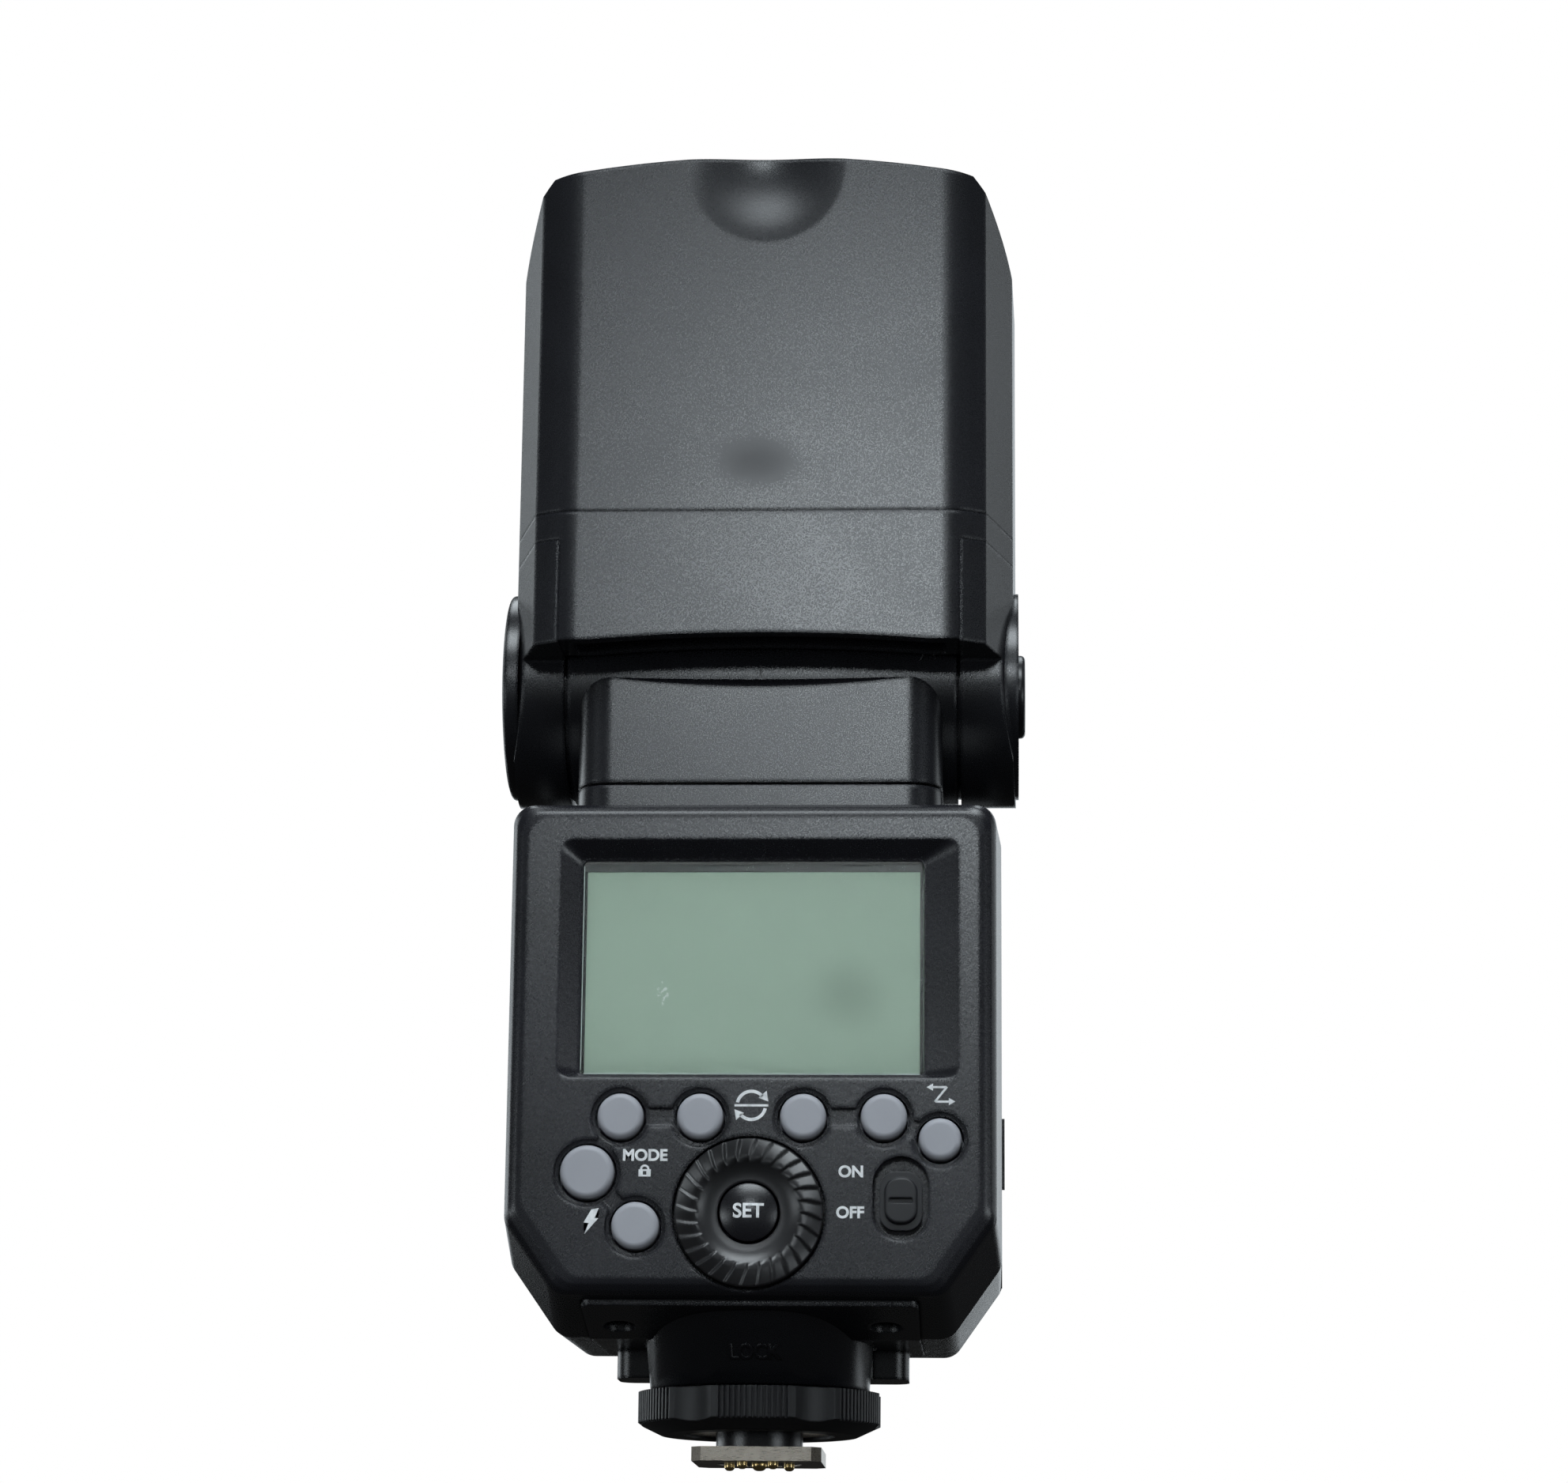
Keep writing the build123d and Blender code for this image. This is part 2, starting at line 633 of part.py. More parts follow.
with BuildPart() as battery_pack:
    with BuildSketch(at_x(PACK_X0)):
        with Locations(((PACK_Y0 + PACK_Y1) / 2, (PACK_Z0 + PACK_Z1) / 2)):
            Rectangle(PACK_Y1 - PACK_Y0, PACK_Z1 - PACK_Z0)
    extrude(amount=BAY_X1 - PACK_X0)
    fillet(battery_pack.edges().filter_by(Axis.X), radius=2.0)
save(battery_pack, "battery_pack")

with BuildPart() as battery_cap:
    with BuildSketch(at_x(BAY_X1 + GAP)):
        with Locations(((PACK_Y0 + PACK_Y1) / 2, (PACK_Z0 + PACK_Z1) / 2)):
            RectangleRounded(PACK_Y1 - PACK_Y0 + 4.6, PACK_Z1 - PACK_Z0 + 4.6, 0.6)
    extrude(amount=BODY_HALF - BAY_X1 - GAP)
    with BuildSketch(at_x(BAY_X1)):
        with Locations(((PACK_Y0 + PACK_Y1) / 2, (PACK_Z0 + PACK_Z1) / 2)):
            Rectangle(PACK_Y1 - PACK_Y0 - 6, PACK_Z1 - PACK_Z0 - 6)
    extrude(amount=GAP)
    # pocket of the latch
    with BuildSketch(at_x(BODY_HALF - 2.4)):
        with Locations((-4.5, (PACK_Z0 + PACK_Z1) / 2)):
            Rectangle(9.2, 13.2)
    extrude(amount=4, mode=Mode.SUBTRACT)
save(battery_cap, "battery_cap")

with BuildPart() as battery_latch:
    with BuildSketch(at_x(BODY_HALF - 2.0)):
        with Locations((-5.6, (PACK_Z0 + PACK_Z1) / 2)):
            Rectangle(5.4, 12.4)
    extrude(amount=1.9)
    with BuildSketch(at_x(BODY_HALF - 0.1)):
        with Locations((-7.2, (PACK_Z0 + PACK_Z1) / 2), (-5.6, (PACK_Z0 + PACK_Z1) / 2)):
            Rectangle(0.7, 10)
    extrude(amount=0.5)
save(battery_latch, "battery_latch")

with BuildPart() as sync_jack:
    with BuildSketch(at_x(-BODY_HALF)):
        with Locations((SYNC_Y, SYNC_Z)):
            Circle(3.2)
            Circle(SYNC_BORE_R, mode=Mode.SUBTRACT)
    extrude(amount=12.0)
save(sync_jack, "sync_jack")

with BuildPart() as data_socket:
    with BuildSketch(at_x(-BODY_HALF + 2.2)):
        with Locations((4, 51)):
            Rectangle(8.2, 4.0)
            Rectangle(7.2, 2.6, mode=Mode.SUBTRACT)
    extrude(amount=6.0)
    with BuildSketch(at_x(-BODY_HALF + 8.2)):
        with Locations((4, 51)):
            Rectangle(8.2, 4.0)
    extrude(amount=1.2)
save(data_socket, "data_socket")

with BuildPart() as port_cover:
    with BuildSketch(at_x(-BODY_HALF - 0.2)):
        with Locations((4, 55)):
            RectangleRounded(10.6, 24.6, 2.0)
    extrude(amount=1.7)
    with BuildSketch(at_x(-BODY_HALF - 0.7)):
        with Locations((0.2, 55)):
            Rectangle(1.2, 8)
    extrude(amount=0.6)
save(port_cover, "port_cover")

with BuildPart() as focus_window:
    with BuildSketch(at_y(FRONT_Y - 3.2)):
        with Locations((0, 62)):
            RectangleRounded(46, 25, 2.9)
    extrude(amount=-3.2)
    with BuildSketch(at_y(FRONT_Y - 3.4)):
        with Locations((0, 62)):
            RectangleRounded(42, 21, 1.5)
    extrude(amount=-1.6, mode=Mode.SUBTRACT)
save(focus_window, "focus_window")

# ---- neck ---------------------------------------------------------------------------------
with BuildPart() as swivel_bearing:
    with BuildSketch(Plane.XY.offset(BODY_TOP - 4.0)):
        Circle(16.0)
        Circle(7.06, mode=Mode.SUBTRACT)
    extrude(amount=1.6)
    with BuildSketch(Plane.XY.offset(BODY_TOP - 2.4)):
        Circle(11.1)
        Circle(7.06, mode=Mode.SUBTRACT)
    extrude(amount=2.3)
save(swivel_bearing, "swivel_bearing")


def neck_section(z):
    # Plan of the neck: flat rear, round rear corners, straight sides.
    with BuildSketch(Plane.XY.offset(z)) as section:
        with BuildLine():
            l1 = Line((-21.4, NECK_REAR), (21.4, NECK_REAR))
            l2 = ThreePointArc((21.4, NECK_REAR), (24.94, -20.54), (NECK_HALF, -17.0))
            l3 = Line((NECK_HALF, -17.0), (NECK_HALF, NECK_FRONT))
            l4 = Line((NECK_HALF, NECK_FRONT), (-NECK_HALF, NECK_FRONT))
            l5 = Line((-NECK_HALF, NECK_FRONT), (-NECK_HALF, -17.0))
            l6 = ThreePointArc((-NECK_HALF, -17.0), (-24.94, -20.54), (-21.4, NECK_REAR))
        make_face()
    return section.sketch


with BuildPart() as turntable:
    extrude(neck_section(BODY_TOP + GAP), amount=NECK_SEAM - BODY_TOP - GAP)
    with BuildSketch(Plane.XY.offset(BODY_TOP - 4.6)):
        Circle(7.0)
    extrude(amount=6)
    with BuildSketch(Plane.XY.offset(BODY_TOP - 5.6)):
        Circle(9.0)
    extrude(amount=1.3)
save(turntable, "turntable")

with BuildPart() as neck_block:
    extrude(neck_section(NECK_SEAM + NECK_GROOVE), amount=RIM_Z - NECK_SEAM)
    with BuildSketch(Plane.XY.offset(NECK_SEAM + 0.05)):
        Circle(10.0)
    extrude(amount=1.0)
    # rear view: round shoulders
    with BuildSketch(at_y(-30)):
        with BuildLine():
            l1 = Line((-NECK_HALF, 90), (NECK_HALF, 90))
            l2 = Line((NECK_HALF, 90), (NECK_HALF, RIM_Z - SHOULDER))
            l3 = RadiusArc((NECK_HALF, RIM_Z - SHOULDER), (NECK_HALF - SHOULDER, RIM_Z), -SHOULDER)
            l4 = Line((NECK_HALF - SHOULDER, RIM_Z), (SHOULDER - NECK_HALF, RIM_Z))
            l5 = RadiusArc((SHOULDER - NECK_HALF, RIM_Z), (-NECK_HALF, RIM_Z - SHOULDER), -SHOULDER)
            l6 = Line((-NECK_HALF, RIM_Z - SHOULDER), (-NECK_HALF, 90))
        make_face()
    extrude(amount=-60, mode=Mode.INTERSECT)
    # the rear top edge is cut by a wide shallow arc that leans back
    lean = RIM_ARC_R * math.sqrt(0.5)
    with BuildSketch(Plane(origin=(0, NECK_REAR - lean, RIM_Z - RIM_ARC_DIP + lean), z_dir=(0, 1, 1))):
        Circle(RIM_ARC_R)
    extrude(amount=12, both=True, mode=Mode.SUBTRACT)
    # the front is low, to leave room for the head when it points down
    with BuildSketch(at_x(0)):
        with BuildLine():
            Polyline((-2, RIM_Z + 5), (-2, 100), (14, 98.2), (14, RIM_Z + 5), close=True)
        make_face()
    extrude(amount=40, both=True, mode=Mode.SUBTRACT)
    with BuildSketch(at_x(0)):
        with Locations((0, AXIS_Z)):
            Circle(DRUM_R + 0.1)
    extrude(amount=40, both=True, mode=Mode.SUBTRACT)
save(neck_block, "neck_block")

with BuildPart() as tilt_drum:
    with BuildSketch(at_x(0)):
        with Locations((0, AXIS_Z)):
            Circle(DRUM_R)
    extrude(amount=DRUM_HALF, both=True)
    # a thrust ring at each end runs in a pocket of the cheek
    with BuildSketch(at_x(0)):
        with Locations((0, AXIS_Z)):
            Circle(THRUST_R)
    extrude(amount=CHEEK_IN + 0.5, both=True)
    with BuildSketch(at_x(0)):
        with Locations((0, AXIS_Z)):
            Circle(3.0)
    extrude(amount=CHEEK_IN + 0.5, both=True, mode=Mode.SUBTRACT)
save(tilt_drum, "tilt_drum")

with BuildPart() as tilt_axle:
    with BuildSketch(at_x(0)):
        with Locations((0, AXIS_Z)):
            Circle(2.95)
    extrude(amount=35.0, both=True)
save(tilt_axle, "tilt_axle")


# ---- head ---------------------------------------------------------------------------------
def head_section(z, grow=0.0):
    # Plan of the head: flat rear and front, bevelled corners, nearly flat sides.
    with BuildSketch(Plane.XY.offset(z)) as section:
        with BuildLine():
            Polyline(
                (-28.6 - grow, HEAD_REAR - grow),
                (28.6 + grow, HEAD_REAR - grow),
                (32.8 + grow, -24.6 - grow),
                (HEAD_HALF - 0.4 + grow, -11.0),
                (HEAD_HALF + grow, 4.0),
                (33.0 + grow, HEAD_FRONT + grow),
                (-33.0 - grow, HEAD_FRONT + grow),
                (-HEAD_HALF - grow, 4.0),
                (-HEAD_HALF + 0.4 - grow, -11.0),
                (-32.8 - grow, -24.6 - grow),
                close=True,
            )
        make_face()
        # rear corners turn little, so they take a wider radius than the rest
        rear = section.vertices().group_by(Axis.Y)[0]
        bevel = section.vertices().group_by(Axis.Y)[1]
        rest = section.vertices().group_by(Axis.Y)[2:]
        fillet(rear, radius=8.0)
        fillet(bevel, radius=5.0)
        for pair in rest:
            fillet(pair, radius=4.0)
    return section.sketch


SCOOP_R = 13.0            # thumb scoop over the pull-out plates
SCOOP_DEPTH = 1.5
SCOOP_X = 0.5
SCOOP_Z = 187.6
SCOOP_STEPS = 8


def scoop_profile():
    # Half of the scoop's bell-shaped section, which fades out into the flat rear.
    curve = []
    for k in range(SCOOP_STEPS + 1):
        t = k / SCOOP_STEPS
        depth = SCOOP_DEPTH * (1 + math.cos(math.pi * t)) / 2 - 0.04
        curve.append((SCOOP_X + SCOOP_R * t, HEAD_REAR + depth))
    outside = HEAD_REAR - 4
    with BuildSketch(Plane.XY.offset(SCOOP_Z)) as profile:
        with BuildLine():
            Spline(*curve, tangents=((1, 0), (1, 0)))
            Polyline(curve[-1], (SCOOP_X + SCOOP_R, outside), (SCOOP_X, outside), curve[0])
        make_face()
    return profile.sketch


with BuildPart() as head_shell:
    extrude(head_section(SPLIT_Z + 0.05), amount=HEAD_TOP - SPLIT_Z)
    # front view: round shoulders and a slightly domed top
    with BuildSketch(at_y(-40)):
        with BuildLine():
            l1 = Line((-HEAD_HALF, 120), (HEAD_HALF, 120))
            l2 = Line((HEAD_HALF, 120), (HEAD_HALF, 166))
            l3 = ThreePointArc((HEAD_HALF, 166), (HEAD_HALF - 1.5, 179), (31.0, 186.4))
            l4 = ThreePointArc((31.0, 186.4), (0, HEAD_TOP), (-31.0, 186.4))
            l5 = ThreePointArc((-31.0, 186.4), (1.5 - HEAD_HALF, 179), (-HEAD_HALF, 166))
            l6 = Line((-HEAD_HALF, 166), (-HEAD_HALF, 120))
        make_face()
    extrude(amount=-80, mode=Mode.INTERSECT)
    # side view: rear top edge eased
    with BuildSketch(at_x(-50)):
        with BuildLine():
            l1 = Line((-27.0, 120), (-27.0, 186.6))
            l2 = ThreePointArc((-27.0, 186.6), (-26.1, 188.9), (-23.8, 190))
            l3 = Line((-23.8, 190), (13.4, 190))
            l4 = Line((13.4, 190), (16.4, 184))
            l5 = Line((16.4, 184), (16.4, 120))
            l6 = Line((16.4, 120), (-27.0, 120))
        make_face()
    extrude(amount=100, mode=Mode.INTERSECT)
    # thumb scoop
    revolve(scoop_profile(), axis=Axis((SCOOP_X, 0, SCOOP_Z), (0, 1, 0)), mode=Mode.SUBTRACT)
    # inside
    with BuildSketch(Plane.XY.offset(SPLIT_Z)):
        with Locations((0, -4.3)):
            Rectangle(62, 36.6)
    extrude(amount=50, mode=Mode.SUBTRACT)
    # window of the lens
    with BuildSketch(Plane.XY.offset(SPLIT_Z)):
        with Locations((0, -1.5)):
            Rectangle(58, 30)
    extrude(amount=70, mode=Mode.SUBTRACT)
    # slot of the two pull-out plates
    with BuildSketch(Plane.XY.offset(SPLIT_Z + 8)):
        with Locations((0, -20.4)):
            Rectangle(54, 4.2)
    extrude(amount=70, mode=Mode.SUBTRACT)
save(head_shell, "head_shell")

with BuildPart() as head_collar:
    extrude(head_section(LIP_Z - 0.6), amount=SPLIT_Z - LIP_Z + 0.6)
    # everything forward of the rear lip stops at the floor
    with BuildSketch(at_x(0)):
        with BuildLine():
            Polyline((-17.6, 100), (-17.6, 120), (-12, FLOOR_Z), (20, FLOOR_Z), (20, 100), close=True)
        make_face()
    extrude(amount=50, both=True, mode=Mode.SUBTRACT)
    with BuildSketch(at_x(0)):
        with Locations((0, AXIS_Z)):
            Circle(DRUM_R + GAP + 0.2)
    extrude(amount=50, both=True, mode=Mode.SUBTRACT)
    # the lip's lower edge is a shallow arch
    with BuildSketch(at_y(-40)):
        with BuildLine():
            l1 = ThreePointArc((-CHEEK_IN, LIP_Z - 1.0), (0, LIP_Z + 0.4), (CHEEK_IN, LIP_Z - 1.0))
            l2 = Polyline((CHEEK_IN, LIP_Z - 1.0), (CHEEK_IN, 90), (-CHEEK_IN, 90), (-CHEEK_IN, LIP_Z - 1.0))
        make_face()
    extrude(amount=-60, mode=Mode.SUBTRACT)
    # the cheeks are separate pieces
    with BuildSketch(Plane.XY.offset(90)):
        with Locations((-CHEEK_IN - 10, 0), (CHEEK_IN + 10, 0)):
            Rectangle(20, 80)
    extrude(amount=FLOOR_Z - 90, mode=Mode.SUBTRACT)
    # hollow behind the lip
    with BuildSketch(Plane.XY.offset(LIP_Z - 5)):
        with Locations((0, -21.2)):
            Rectangle(54, 6.4)
    extrude(amount=12, mode=Mode.SUBTRACT)
save(head_collar, "head_collar")


def cheek(side):
    # One arm of the fork: a round disc on the tilt axis that blends up into the head.
    with BuildPart() as arm:
        extrude(head_section(90), amount=FLOOR_Z - 90)
        with BuildSketch(at_x(0)):
            with BuildLine():
                Polyline(
                    (-27.0, FLOOR_Z),
                    (-27.0, LIP_Z - 0.9),
                    (-15.0, LIP_Z - 0.9),
                    (-15.0, AXIS_Z - 5.0),
                    (15.0, AXIS_Z - 5.0),
                    (HEAD_FRONT, AXIS_Z + 4.0),
                    (HEAD_FRONT, FLOOR_Z),
                    close=True,
                )
            make_face()
            with Locations((0, AXIS_Z)):
                Circle(DISC_R)
        extrude(amount=50, both=True, mode=Mode.INTERSECT)
        with BuildSketch(Plane.XY.offset(80)):
            with Locations((-side * (60 - CHEEK_IN), 0)):
                Rectangle(120, 80)
        extrude(amount=70, mode=Mode.SUBTRACT)
        with BuildSketch(at_x(side * CHEEK_IN)):
            with Locations((0, AXIS_Z)):
                Circle(THRUST_R + 0.2)
        extrude(amount=side * 0.9, mode=Mode.SUBTRACT)
        with BuildSketch(at_x(side * CHEEK_IN)):
            with Locations((0, AXIS_Z)):
                Circle(3.0)
        extrude(amount=side * 6.4, mode=Mode.SUBTRACT)
        if side > 0:
            # raised round boss that carries the tilt-lock button
            with BuildSketch(at_x(CHEEK_IN + 5.0)):
                with Locations((0, AXIS_Z)):
                    Circle(CAP_RADIUS)
                    Circle(3.0, mode=Mode.SUBTRACT)
            extrude(amount=HEAD_HALF - CHEEK_IN - 4.6)
        well_r = 6.55 if side > 0 else CAP_RADIUS + 0.05
        well_depth = 2.0 if side > 0 else 1.2
        with BuildSketch(at_x(side * (HEAD_HALF - well_depth))):
            with Locations((0, AXIS_Z)):
                Circle(well_r)
        extrude(amount=side * 4, mode=Mode.SUBTRACT)
    return arm


save(cheek(-1), "cheek_left")
save(cheek(1), "cheek_right")

with BuildPart() as pivot_cap:
    with BuildSketch(at_x(-HEAD_HALF + 1.15)):
        with Locations((0, AXIS_Z)):
            Circle(CAP_RADIUS)
    extrude(amount=-2.3)
    fillet(pivot_cap.edges().sort_by(Axis.X)[0], radius=0.6)
save(pivot_cap, "pivot_cap")

with BuildPart() as tilt_button:
    with BuildSketch(at_x(HEAD_HALF - 0.4)):
        with Locations((0, AXIS_Z)):
            Circle(6.2)
    extrude(amount=1.8)
    fillet(tilt_button.edges().sort_by(Axis.X)[-1], radius=0.7)
save(tilt_button, "tilt_button")

# optics inside the head
LENS_Z = 184.0
with BuildPart() as fresnel_lens:
    with BuildSketch(Plane.XY.offset(LENS_Z)):
        with Locations((0, -1.5)):
            Rectangle(57.8, 29.8)
    extrude(amount=2.4)
save(fresnel_lens, "fresnel_lens")

CARRIAGE_Z = 150.0
ZOOM_TRAVEL = 16.0
with BuildPart() as zoom_carriage:
    with BuildSketch(Plane.XY.offset(CARRIAGE_Z)):
        with Locations((0, -1.5)):
            Rectangle(48, 22)
    extrude(amount=3.0)
    with BuildSketch(Plane.XY.offset(CARRIAGE_Z)):
        with Locations((27.0, 4.0)):
            Rectangle(6.4, 7.0)
    extrude(amount=3.0)
    with BuildSketch(Plane.XY.offset(CARRIAGE_Z)):
        with Locations((27.0, 4.0)):
            Circle(1.55)
    extrude(amount=3.0, mode=Mode.SUBTRACT)
save(zoom_carriage, "zoom_carriage")

with BuildPart() as reflector:
    with BuildSketch(Plane.XY.offset(CARRIAGE_Z + 3.05)):
        with Locations((0, -1.5)):
            Rectangle(44, 12)
    with BuildSketch(Plane.XY.offset(CARRIAGE_Z + 15.0)):
        with Locations((0, -1.5)):
            Rectangle(50, 26)
    loft()
    with BuildSketch(Plane.XY.offset(CARRIAGE_Z + 4.4)):
        with Locations((0, -1.5)):
            Rectangle(42, 9)
    with BuildSketch(Plane.XY.offset(CARRIAGE_Z + 15.2)):
        with Locations((0, -1.5)):
            Rectangle(48.2, 24)
    loft(mode=Mode.SUBTRACT)
save(reflector, "reflector")

with BuildPart() as flash_tube:
    with BuildSketch(at_x(0)):
        with Locations((-1.5, CARRIAGE_Z + 6.6)):
            Circle(1.9)
    extrude(amount=20.6, both=True)
save(flash_tube, "flash_tube")

with BuildPart() as lead_screw:
    with BuildSketch(Plane.XY.offset(141.5)):
        with Locations((27.0, 4.0)):
            Circle(1.5)
    extrude(amount=31.0)
save(lead_screw, "lead_screw")

with BuildPart() as zoom_motor:
    with BuildSketch(Plane.XY.offset(SPLIT_Z)):
        with Locations((26.0, 4.0)):
            Rectangle(9.0, 9.0)
    extrude(amount=6.4)
save(zoom_motor, "zoom_motor")

with BuildPart() as head_floor:
    with BuildSketch(Plane.XY.offset(SPLIT_Z)):
        with Locations((-6.0, -4.3)):
            Rectangle(48, 30)
    extrude(amount=1.6)
save(head_floor, "head_floor")

with BuildPart() as wide_panel:
    with BuildSketch(Plane.XY.offset(147.5)):
        with Locations((0, -19.6)):
            Rectangle(53, 1.3)
    extrude(amount=39.8)
save(wide_panel, "wide_panel")

with BuildPart() as bounce_card:
    with BuildSketch(Plane.XY.offset(147.5)):
        with Locations((0, -21.6)):
            Rectangle(53, 0.9)
    extrude(amount=39.8)
save(bounce_card, "bounce_card")
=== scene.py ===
import bpy
import bmesh
import math
from mathutils import Matrix, Vector
from mathutils.bvhtree import BVHTree


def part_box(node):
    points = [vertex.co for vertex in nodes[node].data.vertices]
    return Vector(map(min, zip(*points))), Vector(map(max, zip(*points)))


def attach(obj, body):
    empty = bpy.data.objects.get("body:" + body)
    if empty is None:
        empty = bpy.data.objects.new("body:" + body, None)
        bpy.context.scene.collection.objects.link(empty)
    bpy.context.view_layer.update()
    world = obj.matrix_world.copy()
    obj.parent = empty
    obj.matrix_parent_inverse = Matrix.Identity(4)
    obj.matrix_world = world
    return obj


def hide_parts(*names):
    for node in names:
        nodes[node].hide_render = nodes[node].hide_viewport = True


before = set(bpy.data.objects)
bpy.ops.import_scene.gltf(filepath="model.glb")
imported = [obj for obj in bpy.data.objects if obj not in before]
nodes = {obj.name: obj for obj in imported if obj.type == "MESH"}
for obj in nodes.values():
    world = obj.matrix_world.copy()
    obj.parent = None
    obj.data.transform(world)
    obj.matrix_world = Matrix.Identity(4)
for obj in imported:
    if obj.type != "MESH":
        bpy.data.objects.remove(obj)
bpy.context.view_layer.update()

# Pieces are drawn in millimetres and scaled by MM. The texture helpers work in metres.
MM = 0.001
FACE_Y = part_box("rear_cover")[0].y / MM                     # control face
GLASS_LOW, GLASS_HIGH = (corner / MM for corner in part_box("lcd_window"))
PANEL_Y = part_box("lcd_panel")[0].y / MM                     # front of the display panel
DRUM_LOW, DRUM_HIGH = (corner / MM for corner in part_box("tilt_drum"))
DRUM_R = DRUM_HIGH.y
AXIS_Z = (DRUM_LOW.z + DRUM_HIGH.z) / 2


# ---- node material helpers ----------------------------------------------------------------
def new_material(name):
    mat = bpy.data.materials.new(name)
    mat.use_nodes = True
    nt = mat.node_tree
    nt.nodes.clear()
    out = nt.nodes.new("ShaderNodeOutputMaterial")
    bsdf = nt.nodes.new("ShaderNodeBsdfPrincipled")
    nt.links.new(bsdf.outputs[0], out.inputs[0])
    return mat, nt, bsdf


def coords(nt):
    return nt.nodes.new("ShaderNodeTexCoord").outputs["Object"]


def noise(nt, vec, scale, detail=3.0, rough=0.55, dist=0.0):
    n = nt.nodes.new("ShaderNodeTexNoise")
    n.inputs["Scale"].default_value = scale
    n.inputs["Detail"].default_value = detail
    n.inputs["Roughness"].default_value = rough
    n.inputs["Distortion"].default_value = dist
    nt.links.new(vec, n.inputs["Vector"])
    return n.outputs["Fac"]


def cell_edges(nt, vec, scale):
    n = nt.nodes.new("ShaderNodeTexVoronoi")
    n.feature = "DISTANCE_TO_EDGE"
    n.inputs["Scale"].default_value = scale
    nt.links.new(vec, n.inputs["Vector"])
    return n.outputs["Distance"]


def span(nt, value, low, high, start=0.0, stop=1.0):
    # Value from start to stop becomes low to high, and stays at them outside.
    m = nt.nodes.new("ShaderNodeMapRange")
    m.inputs["From Min"].default_value = start
    m.inputs["From Max"].default_value = stop
    m.inputs["To Min"].default_value = low
    m.inputs["To Max"].default_value = high
    nt.links.new(value, m.inputs["Value"])
    return m.outputs[0]


def math_node(nt, op, a, b):
    m = nt.nodes.new("ShaderNodeMath")
    m.operation = op
    nt.links.new(a, m.inputs[0])
    nt.links.new(b, m.inputs[1])
    return m.outputs[0]


def soft_edges(nt, radius):
    # Normal as if every edge were rounded by the radius.
    b = nt.nodes.new("ShaderNodeBevel")
    b.samples = 4
    b.inputs["Radius"].default_value = radius
    return b.outputs[0]


def bump(nt, bsdf, heights, normal=None):
    # Bumps stacked on each other: (height, strength, distance in metres) for each.
    last = normal
    for height, strength, distance in heights:
        b = nt.nodes.new("ShaderNodeBump")
        b.inputs["Strength"].default_value = strength
        b.inputs["Distance"].default_value = distance
        nt.links.new(height, b.inputs["Height"])
        if last is not None:
            nt.links.new(last, b.inputs["Normal"])
        last = b.outputs[0]
    nt.links.new(last, bsdf.inputs["Normal"])


def edge_wear(nt, rounded):
    # 1 where the rounded normal leaves the flat one, so on edges only.
    geo = nt.nodes.new("ShaderNodeNewGeometry")
    dot = nt.nodes.new("ShaderNodeVectorMath")
    dot.operation = "DOT_PRODUCT"
    nt.links.new(geo.outputs["Normal"], dot.inputs[0])
    nt.links.new(rounded, dot.inputs[1])
    return span(nt, dot.outputs["Value"], 1.0, 0.0, start=0.90, stop=0.995)


def mix_color(nt, fac, a, b):
    # a and b are colours, or sockets that carry one.
    m = nt.nodes.new("ShaderNodeMix")
    m.data_type = "RGBA"
    nt.links.new(fac, m.inputs[0])
    for sock, v in ((m.inputs[6], a), (m.inputs[7], b)):
        if isinstance(v, tuple):
            sock.default_value = (*v, 1.0)
        else:
            nt.links.new(v, sock)
    return m.outputs[2]


def spot(nt, vec, centre, radii):
    # Soft patch: 1 at the centre, 0 outside an ellipsoid of these radii, all in millimetres.
    mp = nt.nodes.new("ShaderNodeMapping")
    mp.vector_type = "POINT"
    mp.inputs["Location"].default_value = tuple(-c / r for c, r in zip(centre, radii))
    mp.inputs["Scale"].default_value = tuple(1.0 / (r * MM) for r in radii)
    nt.links.new(vec, mp.inputs["Vector"])
    length = nt.nodes.new("ShaderNodeVectorMath")
    length.operation = "LENGTH"
    nt.links.new(mp.outputs[0], length.inputs[0])
    m = nt.nodes.new("ShaderNodeMapRange")
    m.interpolation_type = "SMOOTHSTEP"
    m.inputs["From Min"].default_value = 1.0
    m.inputs["From Max"].default_value = 0.0
    nt.links.new(length.outputs["Value"], m.inputs["Value"])
    return m.outputs[0]


